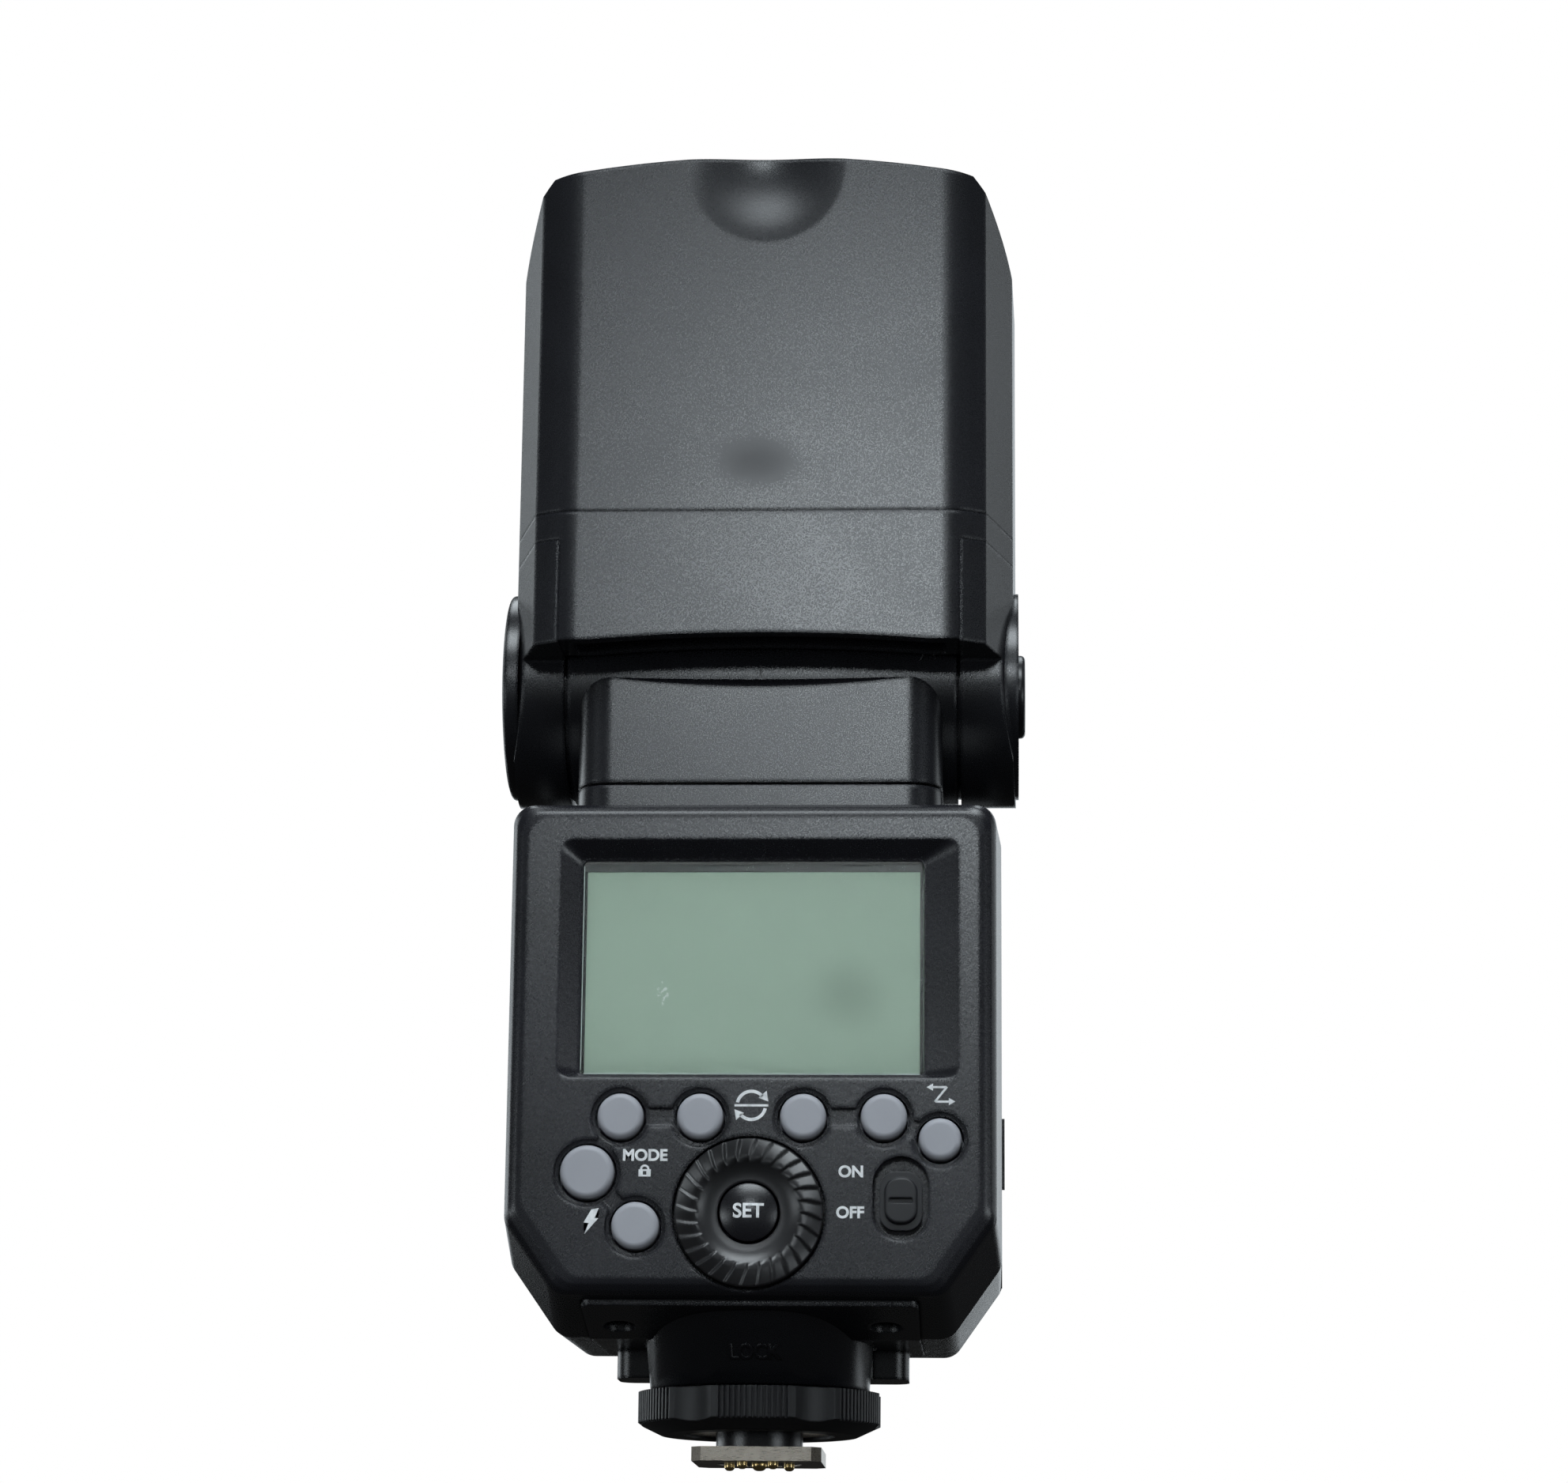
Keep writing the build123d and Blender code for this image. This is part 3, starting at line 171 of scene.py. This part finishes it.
# ---- materials ----------------------------------------------------------------------------
def grained_plastic(name, base, tint, grain, depth, rough, edge, smudge=None):
    # Moulded plastic: fine leather grain, faint cloudiness, edges rubbed a little smoother.
    mat, nt, bsdf = new_material(name)
    vec = coords(nt)
    cloud = noise(nt, vec, 60.0, detail=4.0)
    smear = noise(nt, vec, 22.0, detail=3.0, rough=0.6, dist=0.8)
    fine = noise(nt, vec, grain * 2.2, detail=2.0, rough=0.6)
    cells = noise(nt, vec, grain, detail=2.0, rough=0.5)
    rounded = soft_edges(nt, edge)
    patchy = span(nt, cloud, 0.2, 1.0, start=0.35, stop=0.65)
    worn = math_node(nt, "MULTIPLY", edge_wear(nt, rounded), patchy)
    colour = mix_color(nt, span(nt, cloud, 0.0, 1.0, start=0.3, stop=0.7), base, tint)
    colour = mix_color(nt, span(nt, worn, 0.0, 0.5), colour, tuple(c * 2.0 for c in tint))
    nt.links.new(colour, bsdf.inputs["Base Color"])
    r = math_node(nt, "ADD", span(nt, fine, rough - 0.04, rough + 0.04, start=0.3, stop=0.7),
                  span(nt, smear, -0.010, 0.014, start=0.35, stop=0.65))
    r = math_node(nt, "ADD", r, span(nt, worn, 0.0, -0.05))
    if smudge:
        r = math_node(nt, "ADD", r, span(nt, spot(nt, vec, *smudge), 0.0, 0.09))
    nt.links.new(r, bsdf.inputs["Roughness"])
    bump(nt, bsdf, [(cells, 0.5, depth), (fine, 0.3, depth * 0.5)], rounded)
    return mat


def rubber(name, base, tint, rough):
    mat, nt, bsdf = new_material(name)
    vec = coords(nt)
    cloud = noise(nt, vec, 130.0, detail=4.0)
    fine = noise(nt, vec, 2600.0, detail=2.0)
    colour = mix_color(nt, span(nt, cloud, 0.0, 0.5, start=0.3, stop=0.7), base, tint)
    nt.links.new(colour, bsdf.inputs["Base Color"])
    nt.links.new(span(nt, fine, rough - 0.08, rough + 0.08, start=0.3, stop=0.7), bsdf.inputs["Roughness"])
    bsdf.inputs["Specular IOR Level"].default_value = 0.4
    bump(nt, bsdf, [(fine, 0.25, 0.00002)])
    return mat


def metal(name, base, tint, rough, brushed=(1.0, 1.0, 1.0)):
    # brushed stretches the streaks: a larger number makes them finer along that axis.
    mat, nt, bsdf = new_material(name)
    vec = coords(nt)
    mp = nt.nodes.new("ShaderNodeMapping")
    mp.inputs["Scale"].default_value = brushed
    nt.links.new(vec, mp.inputs["Vector"])
    streak = noise(nt, mp.outputs[0], 900.0, detail=3.0, rough=0.7)
    cloud = noise(nt, vec, 140.0, detail=4.0)
    colour = mix_color(nt, span(nt, cloud, 0.0, 0.6, start=0.3, stop=0.7), base, tint)
    nt.links.new(colour, bsdf.inputs["Base Color"])
    nt.links.new(span(nt, streak, rough - 0.1, rough + 0.12, start=0.3, stop=0.7), bsdf.inputs["Roughness"])
    bsdf.inputs["Metallic"].default_value = 1.0
    bump(nt, bsdf, [(streak, 0.12, 0.00002)])
    return mat


def glassy(name, base, rough, ribs=None):
    # Clear plastic or glass; ribs is how close together the ribs of a lens lie.
    mat, nt, bsdf = new_material(name)
    vec = coords(nt)
    cloud = noise(nt, vec, 200.0, detail=3.0)
    nt.links.new(mix_color(nt, cloud, base, tuple(c * 0.94 for c in base)), bsdf.inputs["Base Color"])
    nt.links.new(span(nt, cloud, rough, rough + 0.05, start=0.3, stop=0.7), bsdf.inputs["Roughness"])
    bsdf.inputs["Transmission Weight"].default_value = 1.0
    bsdf.inputs["IOR"].default_value = 1.49
    heights = [(cloud, 0.02, 0.00001)]
    if ribs:
        w = nt.nodes.new("ShaderNodeTexWave")
        w.bands_direction = "Y"
        w.inputs["Scale"].default_value = ribs
        nt.links.new(vec, w.inputs["Vector"])
        heights.insert(0, (w.outputs["Fac"], 0.8, 0.0002))
    bump(nt, bsdf, heights)
    return mat


def plain(name, cloud_scale, detail, dark, light, rough, strength, distance, fine_scale=None):
    # Two close colours in faint clouds. Roughness and bump follow the clouds, or a finer noise.
    mat, nt, bsdf = new_material(name)
    vec = coords(nt)
    cloud = noise(nt, vec, cloud_scale, detail=detail)
    fine = noise(nt, vec, fine_scale, detail=2.0) if fine_scale else cloud
    nt.links.new(mix_color(nt, cloud, dark, light), bsdf.inputs["Base Color"])
    nt.links.new(span(nt, fine, *rough), bsdf.inputs["Roughness"])
    bump(nt, bsdf, [(fine, strength, distance)])
    return mat, bsdf


SMUDGE = ((-0.3, -27.0, 142.3), (8.5, 6.0, 5.5))            # dull patch on the head's rear
body_mat = grained_plastic("body_plastic", (0.0080, 0.0083, 0.0102), (0.0125, 0.0125, 0.0160),
                           grain=1900.0, depth=0.000024, rough=0.275, edge=0.0007)
head_mat = grained_plastic("head_plastic", (0.0080, 0.0083, 0.0100), (0.0115, 0.0118, 0.0145),
                           grain=2600.0, depth=0.000010, rough=0.28, edge=0.0008, smudge=SMUDGE)
satin_mat = grained_plastic("black_satin", (0.0070, 0.0070, 0.0084), (0.0110, 0.0108, 0.0132),
                            grain=2600.0, depth=0.000012, rough=0.30, edge=0.0004)
ring_mat = grained_plastic("ring_plastic", (0.0040, 0.0042, 0.0056), (0.0070, 0.0070, 0.0092),
                           grain=2600.0, depth=0.000012, rough=0.48, edge=0.0003)
dial_mat = grained_plastic("dial_plastic", (0.013, 0.013, 0.0138), (0.020, 0.0195, 0.0210),
                           grain=2400.0, depth=0.000012, rough=0.34, edge=0.0002)
mask_mat = grained_plastic("lcd_mask", (0.010, 0.013, 0.012), (0.016, 0.020, 0.018),
                           grain=2400.0, depth=0.00001, rough=0.30, edge=0.0001)
key_mat = rubber("key_rubber", (0.315, 0.32, 0.35), (0.36, 0.365, 0.395), rough=0.45)
black_rubber = rubber("black_rubber", (0.014, 0.014, 0.015), (0.024, 0.024, 0.026), rough=0.6)
nickel = metal("nickel", (0.48, 0.43, 0.37), (0.38, 0.34, 0.29), rough=0.30, brushed=(1.0, 12.0, 12.0))
gold = metal("gold_plate", (0.85, 0.64, 0.30), (0.75, 0.54, 0.24), rough=0.22)
steel = metal("dark_steel", (0.03, 0.03, 0.03), (0.02, 0.02, 0.02), rough=0.45)
mirror_metal = metal("mirror_metal", (0.92, 0.92, 0.92), (0.86, 0.86, 0.86), rough=0.12)
window_mat = glassy("window", (0.96, 0.98, 0.97), rough=0.02)
lens_mat = glassy("lens", (0.93, 0.95, 0.94), rough=0.06, ribs=160.0)
tube_mat = glassy("tube_glass", (0.96, 0.97, 0.98), rough=0.02)
red_mat, _ = plain("red_window", 90.0, 3.0, (0.10, 0.004, 0.006), (0.16, 0.006, 0.01),
                   rough=(0.06, 0.12), strength=0.03, distance=0.00002)
card_mat, _ = plain("white_card", 80.0, 3.0, (0.78, 0.78, 0.76), (0.84, 0.84, 0.82),
                    rough=(0.35, 0.5), strength=0.1, distance=0.00001, fine_scale=3000.0)
# painted highlight: pale colour for the glint along the window's lower and left edges
edge_glint_mat, _ = plain("painted_edge_glint", 260.0, 4.0, (0.30, 0.36, 0.33), (0.50, 0.56, 0.53),
                    rough=(0.12, 0.3), strength=0.1, distance=0.00002)

# display layer: pale green with fine speckle, a stain at the right and a chip at the left
STAIN = ((13.4, -28.0, 63.5), (7.2, 20.0, 7.0))
CHIP = ((-12.7, -28.0, 63.6), (1.3, 20.0, 2.3))
lcd_mat, nt, bsdf = new_material("lcd_layer")
vec = coords(nt)
cloud = noise(nt, vec, 40.0, detail=4.0)
fine = noise(nt, vec, 3500.0, detail=2.0)
flakes = noise(nt, vec, 1400.0, detail=3.0)
green = mix_color(nt, cloud, (0.45, 0.575, 0.465), (0.49, 0.615, 0.505))
speckle = span(nt, fine, 0.0, 0.30, start=0.35, stop=0.65)
green = mix_color(nt, speckle, green, (0.405, 0.525, 0.425))
stain = math_node(nt, "MULTIPLY", spot(nt, vec, *STAIN), span(nt, cloud, 0.30, 0.52))
green = mix_color(nt, stain, green, (0.20, 0.25, 0.20))
chip = math_node(nt, "MULTIPLY", spot(nt, vec, *CHIP), span(nt, flakes, 0.0, 2.0, start=0.50, stop=0.62))
green = mix_color(nt, span(nt, chip, 0.0, 0.85, start=0.2, stop=0.7), green, (0.80, 0.86, 0.82))
nt.links.new(green, bsdf.inputs["Base Color"])
nt.links.new(span(nt, fine, 0.34, 0.5), bsdf.inputs["Roughness"])
bump(nt, bsdf, [(fine, 0.08, 0.00001)])

board_mat, nt, bsdf = new_material("board")
vec = coords(nt)
cloud = noise(nt, vec, 120.0, detail=4.0)
tracks = cell_edges(nt, vec, 300.0)
on_track = span(nt, tracks, 0.0, 1.0, start=0.0, stop=0.1)
nt.links.new(mix_color(nt, on_track, (0.03, 0.16, 0.06), (0.01, 0.08, 0.03)), bsdf.inputs["Base Color"])
nt.links.new(span(nt, cloud, 0.25, 0.4), bsdf.inputs["Roughness"])
bump(nt, bsdf, [(tracks, 0.2, 0.00002)])

print_mat, nt, bsdf = new_material("white_print")
vec = coords(nt)
rubbed = noise(nt, vec, 900.0, detail=4.0)
fade = span(nt, rubbed, 0.0, 1.0, start=0.25, stop=0.6)
nt.links.new(mix_color(nt, fade, (0.52, 0.53, 0.54), (0.80, 0.81, 0.82)), bsdf.inputs["Base Color"])
nt.links.new(span(nt, rubbed, 0.45, 0.6), bsdf.inputs["Roughness"])
bump(nt, bsdf, [(rubbed, 0.2, 0.00001)])

ASSIGN = (
    (body_mat, ("rear_cover", "front_cover", "battery_cap")),
    (head_mat, ("head_shell", "head_collar", "cheek_left", "cheek_right", "neck_block", "turntable",
                "foot_collar", "base_plate", "pivot_cap", "tilt_drum")),
    (ring_mat, ("lock_ring", "power_switch")),
    (satin_mat, ("battery_latch", "dial", "tilt_button", "contact_block", "battery_bay", "head_floor",
                 "zoom_carriage", "swivel_bearing", "data_socket", "battery_pack", "zoom_motor",
                 "main_capacitor", "set_key", "foot_stem")),
    (key_mat, ("key_lamp", "key_sync", "key_plus", "key_group", "key_wireless", "key_mode", "key_test",
               "key_mat")),
    (black_rubber, ("port_cover",)),
    (nickel, ("foot_plate", "lock_pin", "clamp_washer", "lead_screw", "tilt_axle")),
    (steel, ("base_screws",)),
    (gold, ("pin_centre", "pin_rear_left", "pin_rear_right", "pin_side_left", "pin_side_right",
            "sync_jack")),
    (mirror_metal, ("reflector",)),
    (window_mat, ("lcd_window",)),
    (lens_mat, ("fresnel_lens", "wide_panel")),
    (tube_mat, ("flash_tube",)),
    (red_mat, ("focus_window",)),
    (lcd_mat, ("lcd_panel",)),
    (board_mat, ("main_board",)),
    (card_mat, ("bounce_card",)),
)
for mat, names in ASSIGN:
    for node_name in names:
        slots = nodes[node_name].data.materials
        slots.clear()
        slots.append(mat)


# ---- mesh helpers -------------------------------------------------------------------------
def add_piece(name, mesh, mat, body):
    ob = bpy.data.objects.new(name, mesh)
    bpy.context.collection.objects.link(ob)
    mesh.materials.append(mat)
    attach(ob, body)
    return ob


def strip(x0, z0, x1, z1):
    return [(x0, z1), (x1, z1), (x1, z0), (x0, z0)]


def arc_band(r0, r1, a0, a1, n):
    # Part of a ring round (0, 0) between two radii and two angles in degrees.
    angles = [math.radians(a0 + (a1 - a0) * k / n) for k in range(n + 1)]
    outer = [(r1 * math.cos(a), r1 * math.sin(a)) for a in angles]
    inner = [(r0 * math.cos(a), r0 * math.sin(a)) for a in angles]
    return outer + inner[::-1]


def moved(loops, x, z):
    return [[(x + px, z + pz) for px, pz in loop] for loop in loops]


def half_turned(loops):
    return [[(-px, -pz) for px, pz in loop] for loop in loops]


def flat_shape(name, loops, y, thick, mat, body):
    # Raised flat print: closed outlines in the XZ plane, filled and given a little thickness.
    bm = bmesh.new()
    for loop in loops:
        vs = [bm.verts.new((x * MM, y * MM, z * MM)) for x, z in loop]
        face = bm.faces.new(vs)
        if face.normal.y > 0:
            face.normal_flip()
    bmesh.ops.triangulate(bm, faces=bm.faces[:])
    geo = bmesh.ops.extrude_face_region(bm, geom=bm.faces[:])
    raised = [v for v in geo["geom"] if isinstance(v, bmesh.types.BMVert)]
    bmesh.ops.translate(bm, vec=(0, -thick * MM, 0), verts=raised)
    bmesh.ops.recalc_face_normals(bm, faces=bm.faces[:])
    me = bpy.data.meshes.new(name)
    bm.to_mesh(me)
    bm.free()
    return add_piece(name, me, mat, body)


def word(name, text, x, z, size, y, mat, body, thick, bold):
    # Text that faces -Y, centred on (x, z), thick each side of y, its strokes widened by bold.
    cu = bpy.data.curves.new(name, "FONT")
    cu.body = text
    cu.size = size * MM
    cu.align_x = "CENTER"
    cu.align_y = "CENTER"
    cu.extrude = thick * MM
    cu.offset = bold * MM
    tmp = bpy.data.objects.new(name + "_tmp", cu)
    bpy.context.collection.objects.link(tmp)
    bpy.context.view_layer.update()
    me = bpy.data.meshes.new_from_object(tmp)
    bpy.data.objects.remove(tmp)
    place = Matrix.Translation((x * MM, y * MM, z * MM))
    me.transform(place @ Matrix.Rotation(math.radians(90), 4, "X"))
    return add_piece(name, me, mat, body)


# ---- dial ---------------------------------------------------------------------------------
DIAL_X = 0.0
DIAL_Z = 32.4
DIAL_R = 10.3
TEETH = 28
STEPS = 16                # points round each tooth
BORE_R = 4.35             # hole for the centre key
HUB_R = 4.6
CREST_R = 7.0             # the dish rises from the hub to here, and the teeth lie outside it
RING_RADII = (BORE_R, HUB_R, 5.2, 5.8, 6.4, 6.8, CREST_R, 7.2, 7.6, 8.1, 8.6, 9.1, 9.6, 10.0, 10.2)
HUB_OUT = 0.15            # heights above the control face
CREST_OUT = 0.9
RIM_OUT = 0.05
DIAL_BACK = -1.8
RIM_DROP = 0.55           # how much lower than the crest the teeth's feet are at the rim
TOOTH_OUT = 0.55
TOOTH_RISE = 0.12         # part of a tooth's width that its steep side takes
TOOTH_SLANT = 0.55        # how many tooth widths it leans over from crest to rim
TOOTH_START = 0.18        # part of the ridge over which the teeth fade in


def dial_height(r, a):
    # Height of the dial's dished, ribbed top above the control face.
    if r < HUB_R:
        return HUB_OUT
    if r < CREST_R:
        t = (r - HUB_R) / (CREST_R - HUB_R)
        return HUB_OUT + (CREST_OUT - HUB_OUT) * t * t
    t = (r - CREST_R) / (DIAL_R - CREST_R)
    phase = (a * TEETH / (2 * math.pi) + TOOTH_SLANT * t) % 1.0
    tooth = 1.0 - phase if phase > TOOTH_RISE else phase / TOOTH_RISE
    return CREST_OUT - RIM_DROP * t * t + TOOTH_OUT * tooth * min(1.0, t / TOOTH_START)


def dial_ring(bm, r, height=None):
    ring = []
    for k in range(TEETH * STEPS):
        a = 2 * math.pi * k / (TEETH * STEPS)
        out = dial_height(r, a) if height is None else height
        ring.append(bm.verts.new(((DIAL_X + r * math.cos(a)) * MM, (FACE_Y - out) * MM,
                                  (DIAL_Z + r * math.sin(a)) * MM)))
    return ring


def build_dial():
    bm = bmesh.new()
    rings = [dial_ring(bm, BORE_R, DIAL_BACK)]
    rings += [dial_ring(bm, r) for r in RING_RADII]
    rings += [dial_ring(bm, DIAL_R, RIM_OUT), dial_ring(bm, DIAL_R, DIAL_BACK)]
    for a, b in zip(rings, rings[1:] + rings[:1]):
        for k in range(len(a)):
            following = (k + 1) % len(a)
            bm.faces.new((a[k], a[following], b[following], b[k]))
    bmesh.ops.recalc_face_normals(bm, faces=bm.faces[:])
    me = bpy.data.meshes.new("dial_wheel")
    bm.to_mesh(me)
    bm.free()
    for p in me.polygons:
        p.use_smooth = True
    ob = add_piece("dial_wheel", me, dial_mat, "dial")
    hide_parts("dial")


build_dial()

# ---- printed marks ------------------------------------------------------------------------
PRINT = 0.03              # thickness of the print
PRINT_Y = FACE_Y - 0.005
LETTER = 2.2
BOLD = 0.075
for name, text, x, z in (("mark_mode", "MODE", -14.5, 40.25), ("mark_on", "ON", 14.1, 38.05),
                         ("mark_off", "OFF", 14.0, 32.4)):
    word(name, text, x, z, LETTER, PRINT_Y, print_mat, "body", PRINT, BOLD)

SET_OUT = 1.4             # top of the centre key's dome, above the face
SET_DOME = 9.0            # radius of the dome
SET_LIFT = 0.05           # keeps the straight strokes clear of the dome between their ends
SET_LETTER = 2.75
SET_BOLD = 0.07
SET_Z = DIAL_Z + 0.05
set_mark = word("mark_set", "SET", DIAL_X, SET_Z, SET_LETTER, FACE_Y - SET_OUT - SET_LIFT,
                print_mat, "set_key", PRINT, SET_BOLD)
for v in set_mark.data.vertices:
    # wrap the flat word on to the dome
    r2 = (v.co.x / MM - DIAL_X) ** 2 + (v.co.z / MM - DIAL_Z) ** 2
    v.co.y += (SET_DOME - math.sqrt(SET_DOME ** 2 - r2)) * MM

padlock = [
    strip(-0.85, -1.0, -0.25, 0.0),
    strip(0.25, -1.0, 0.85, 0.0),
    strip(-0.25, -0.25, 0.25, 0.0),
    strip(-0.25, -1.0, 0.25, -0.75),
    arc_band(0.38, 0.66, 0.0, 180.0, 14),
]
flat_shape("mark_lock", moved(padlock, -14.5, 38.35), PRINT_Y, PRINT, print_mat, "body")

bolt = [[(-21.8, 32.75), (-20.75, 32.95), (-21.35, 31.55), (-20.8, 31.55), (-22.7, 29.35),
         (-22.15, 30.85), (-22.85, 30.95)]]
flat_shape("mark_bolt", bolt, PRINT_Y, PRINT, print_mat, "body")

# two turning arrows, one the other's half turn, split by a bar
arrow = [arc_band(1.75, 2.2, 40.0, 168.0, 18), [(1.0, 1.05), (2.35, 0.55), (2.1, 2.05)]]
cycle = [strip(-2.35, -0.16, 2.35, 0.16)] + arrow + half_turned(arrow)
flat_shape("mark_cycle", moved(cycle, 0.2, 47.3), PRINT_Y, PRINT, print_mat, "body")

# zigzag with an arrow at each end
end = [strip(-1.2, 0.86, 0.75, 1.16), [(-1.1, 1.5), (-1.1, 0.5), (-2.0, 1.0)]]
slant = [(0.75, 1.16), (0.95, 0.95), (-0.75, -1.16), (-0.95, -0.95)]
flat_shape("mark_link", moved([slant] + end + half_turned(end), 26.5, 48.9),
           PRINT_Y, PRINT, print_mat, "body")

# raised word on the collar's flank, dropped on to it from the rear
WORD_OUT = 0.12           # how far it stands out, and how deep its back lies in the flank
WORD_IN = 0.10
flank = nodes["foot_collar"].data
flank_tree = BVHTree.FromPolygons([v.co for v in flank.vertices], [p.vertices[:] for p in flank.polygons])
collar_word = word("mark_collar", "LOCK", 0.3, 14.3, 2.7, 0.0, satin_mat, "body", 0.10, 0.08)
for v in collar_word.data.vertices:
    hit, normal = flank_tree.ray_cast(Vector((v.co.x, -0.1, v.co.z)), Vector((0, 1, 0)))[:2]
    v.co = hit + normal * ((WORD_OUT if v.co.y < 0 else -WORD_IN) * MM)

# tilt scale on the drum: a line for each stop, and some stops' numbers beside it
STOP_NUMBERS = (("75", 8.5), ("60", 23.5), ("45", 38.5), ("0", 83.5))
STOP_LINES = (-1.0, 14.0, 29.0, 44.0, 59.0, 74.0)
NUMBER_X = 24.2
DRUM_SINK = 0.02          # how far the marks are let into the drum's surface
MARK_T = 0.08


def wrap_on_drum(ob, angle):
    for v in ob.data.vertices:
        a = math.radians(angle) + v.co.z / (DRUM_R * MM)
        out = (DRUM_R - DRUM_SINK) * MM - v.co.y
        v.co.y, v.co.z = -out * math.cos(a), AXIS_Z * MM + out * math.sin(a)


for label, angle in STOP_NUMBERS:
    wrap_on_drum(word("drum_number_" + label, label, NUMBER_X, 0.0, 2.9, 0.0, satin_mat, "neck",
                      MARK_T, 0.05), angle)
for k, angle in enumerate(STOP_LINES):
    wrap_on_drum(flat_shape("drum_line_%d" % k, [strip(-0.25, -1.2, 0.05, 1.2)], 0.0, MARK_T,
                            satin_mat, "neck"), angle)

# dark mask behind the window's border, and a painted highlight: a pale strip along the window's lower and
# left edges, standing in for the glint of its polished edge
VIEW = (-23.55, 52.25, 23.5, 80.95)
flat_shape("lcd_mask", [
    strip(GLASS_LOW.x, VIEW[3], GLASS_HIGH.x, GLASS_HIGH.z),
    strip(GLASS_LOW.x, GLASS_LOW.z, GLASS_HIGH.x, VIEW[1]),
    strip(GLASS_LOW.x, VIEW[1], VIEW[0], VIEW[3]),
    strip(VIEW[2], VIEW[1], GLASS_HIGH.x, VIEW[3]),
], PANEL_Y - 0.012, 0.025, mask_mat, "body")
flat_shape("window_edge_glint", [
    strip(GLASS_LOW.x + 0.5, GLASS_LOW.z + 0.02, GLASS_HIGH.x - 0.5, GLASS_LOW.z + 0.20),
    strip(GLASS_LOW.x + 0.02, GLASS_LOW.z + 0.6, GLASS_LOW.x + 0.14, GLASS_HIGH.z - 0.6),
], GLASS_LOW.y - 0.002, 0.02, edge_glint_mat, "body")

# ---- floor, light and camera --------------------------------------------------------------
FLOOR_Z = -0.110          # below the camera, which looks up at the object
FLOOR_HALF = 6.0
floor_mat, floor_bsdf = plain("floor_paper", 3.0, 3.0, (0.30, 0.30, 0.30), (0.33, 0.33, 0.33),
                              rough=(0.75, 0.9), strength=0.05, distance=0.0001, fine_scale=900.0)
floor_bsdf.inputs["Emission Color"].default_value = (1.0, 1.0, 1.0, 1.0)
floor_bsdf.inputs["Emission Strength"].default_value = 0.80
bm = bmesh.new()
bmesh.ops.create_grid(bm, x_segments=8, y_segments=8, size=FLOOR_HALF)
floor_mesh = bpy.data.meshes.new("floor")
bm.to_mesh(floor_mesh)
bm.free()
floor = bpy.data.objects.new("floor", floor_mesh)
floor.location = (0, 0, FLOOR_Z)
bpy.context.collection.objects.link(floor)
floor_mesh.materials.append(floor_mat)
# the floor is pale to the camera, but doesn't light the object or show in its gloss
floor.visible_diffuse = False
floor.visible_glossy = False

# the same for the world: white to the camera, nearly dark to everything else
world = bpy.data.worlds.new("soft")
bpy.context.scene.world = world
world.use_nodes = True
wt = world.node_tree
path = wt.nodes.new("ShaderNodeLightPath")
lit = wt.nodes.new("ShaderNodeMapRange")
lit.inputs["To Min"].default_value = 0.02
lit.inputs["To Max"].default_value = 1.0
wt.links.new(path.outputs["Is Camera Ray"], lit.inputs["Value"])
wt.nodes["Background"].inputs[0].default_value = (1, 1, 1, 1)
wt.links.new(lit.outputs[0], wt.nodes["Background"].inputs[1])
bpy.context.scene.view_settings.view_transform = "Standard"

# soft boxes: name, place, what it aims at, width and height in metres, power in watts
LIGHT_TINT = (0.92, 1.0, 1.05)
LIGHTS = (
    ("key", (0.0, -1.15, 0.44), (0, 0, 0.12), (0.18, 0.18), 2.3),
    ("upper", (0.06, -0.70, 1.15), (0, 0, 0.10), (0.9, 0.5), 15.0),
    ("front", (0.0, -1.70, 0.02), (0, 0, 0.10), (1.4, 0.30), 0.4),
    ("side_left", (-0.95, -0.75, 0.02), (0, 0, 0.06), (0.5, 0.3), 2.2),
    ("side_right", (0.95, -0.75, 0.02), (0, 0, 0.06), (0.5, 0.3), 2.0),
    ("rim_left", (-0.85, 0.55, 0.25), (0, 0, 0.10), (0.6, 0.9), 4.2),
    ("rim_right", (0.85, 0.60, 0.25), (0, 0, 0.10), (0.6, 0.9), 1.7),
    ("back", (0.0, 1.5, 0.40), (0, 0, 0.10), (1.3, 0.8), 3.5),
    ("top", (0.0, 0.55, 1.35), (0, 0, 0.15), (0.9, 0.7), 9.0),
)
for name, place, target, size, power in LIGHTS:
    light = bpy.data.lights.new(name, "AREA")
    light.shape = "RECTANGLE"
    light.size, light.size_y = size
    light.energy = power
    light.color = LIGHT_TINT
    ob = bpy.data.objects.new(name, light)
    ob.location = place
    ob.rotation_euler = (Vector(target) - Vector(place)).to_track_quat("-Z", "Y").to_euler()
    bpy.context.collection.objects.link(ob)

# camera, where the photograph's was
PHOTO_WIDTH = 1983.0
FOCAL = 5267.0            # focal length in pixels of the photograph
SENSOR = 36.0
CAMERA_PLACE = (0.03516, -0.60522, -0.03649)
YAW = math.radians(3.09)
PITCH = math.radians(13.3)
ROLL = math.radians(0.59)
cam_data = bpy.data.cameras.new("camera")
cam_data.sensor_width = SENSOR
cam_data.lens = SENSOR * FOCAL / PHOTO_WIDTH
cam_data.clip_start = 0.01
cam = bpy.data.objects.new("camera", cam_data)
bpy.context.collection.objects.link(cam)
look = Vector((-math.sin(YAW) * math.cos(PITCH), math.cos(YAW) * math.cos(PITCH), math.sin(PITCH)))
level_right = Vector((math.cos(YAW), math.sin(YAW), 0.0))
level_up = level_right.cross(look)
right = level_right * math.cos(ROLL) + level_up * math.sin(ROLL)
up = level_up * math.cos(ROLL) - level_right * math.sin(ROLL)
turn = Matrix((right, up, -look)).transposed()
cam.matrix_world = Matrix.Translation(CAMERA_PLACE) @ turn.to_4x4()
bpy.context.scene.camera = cam
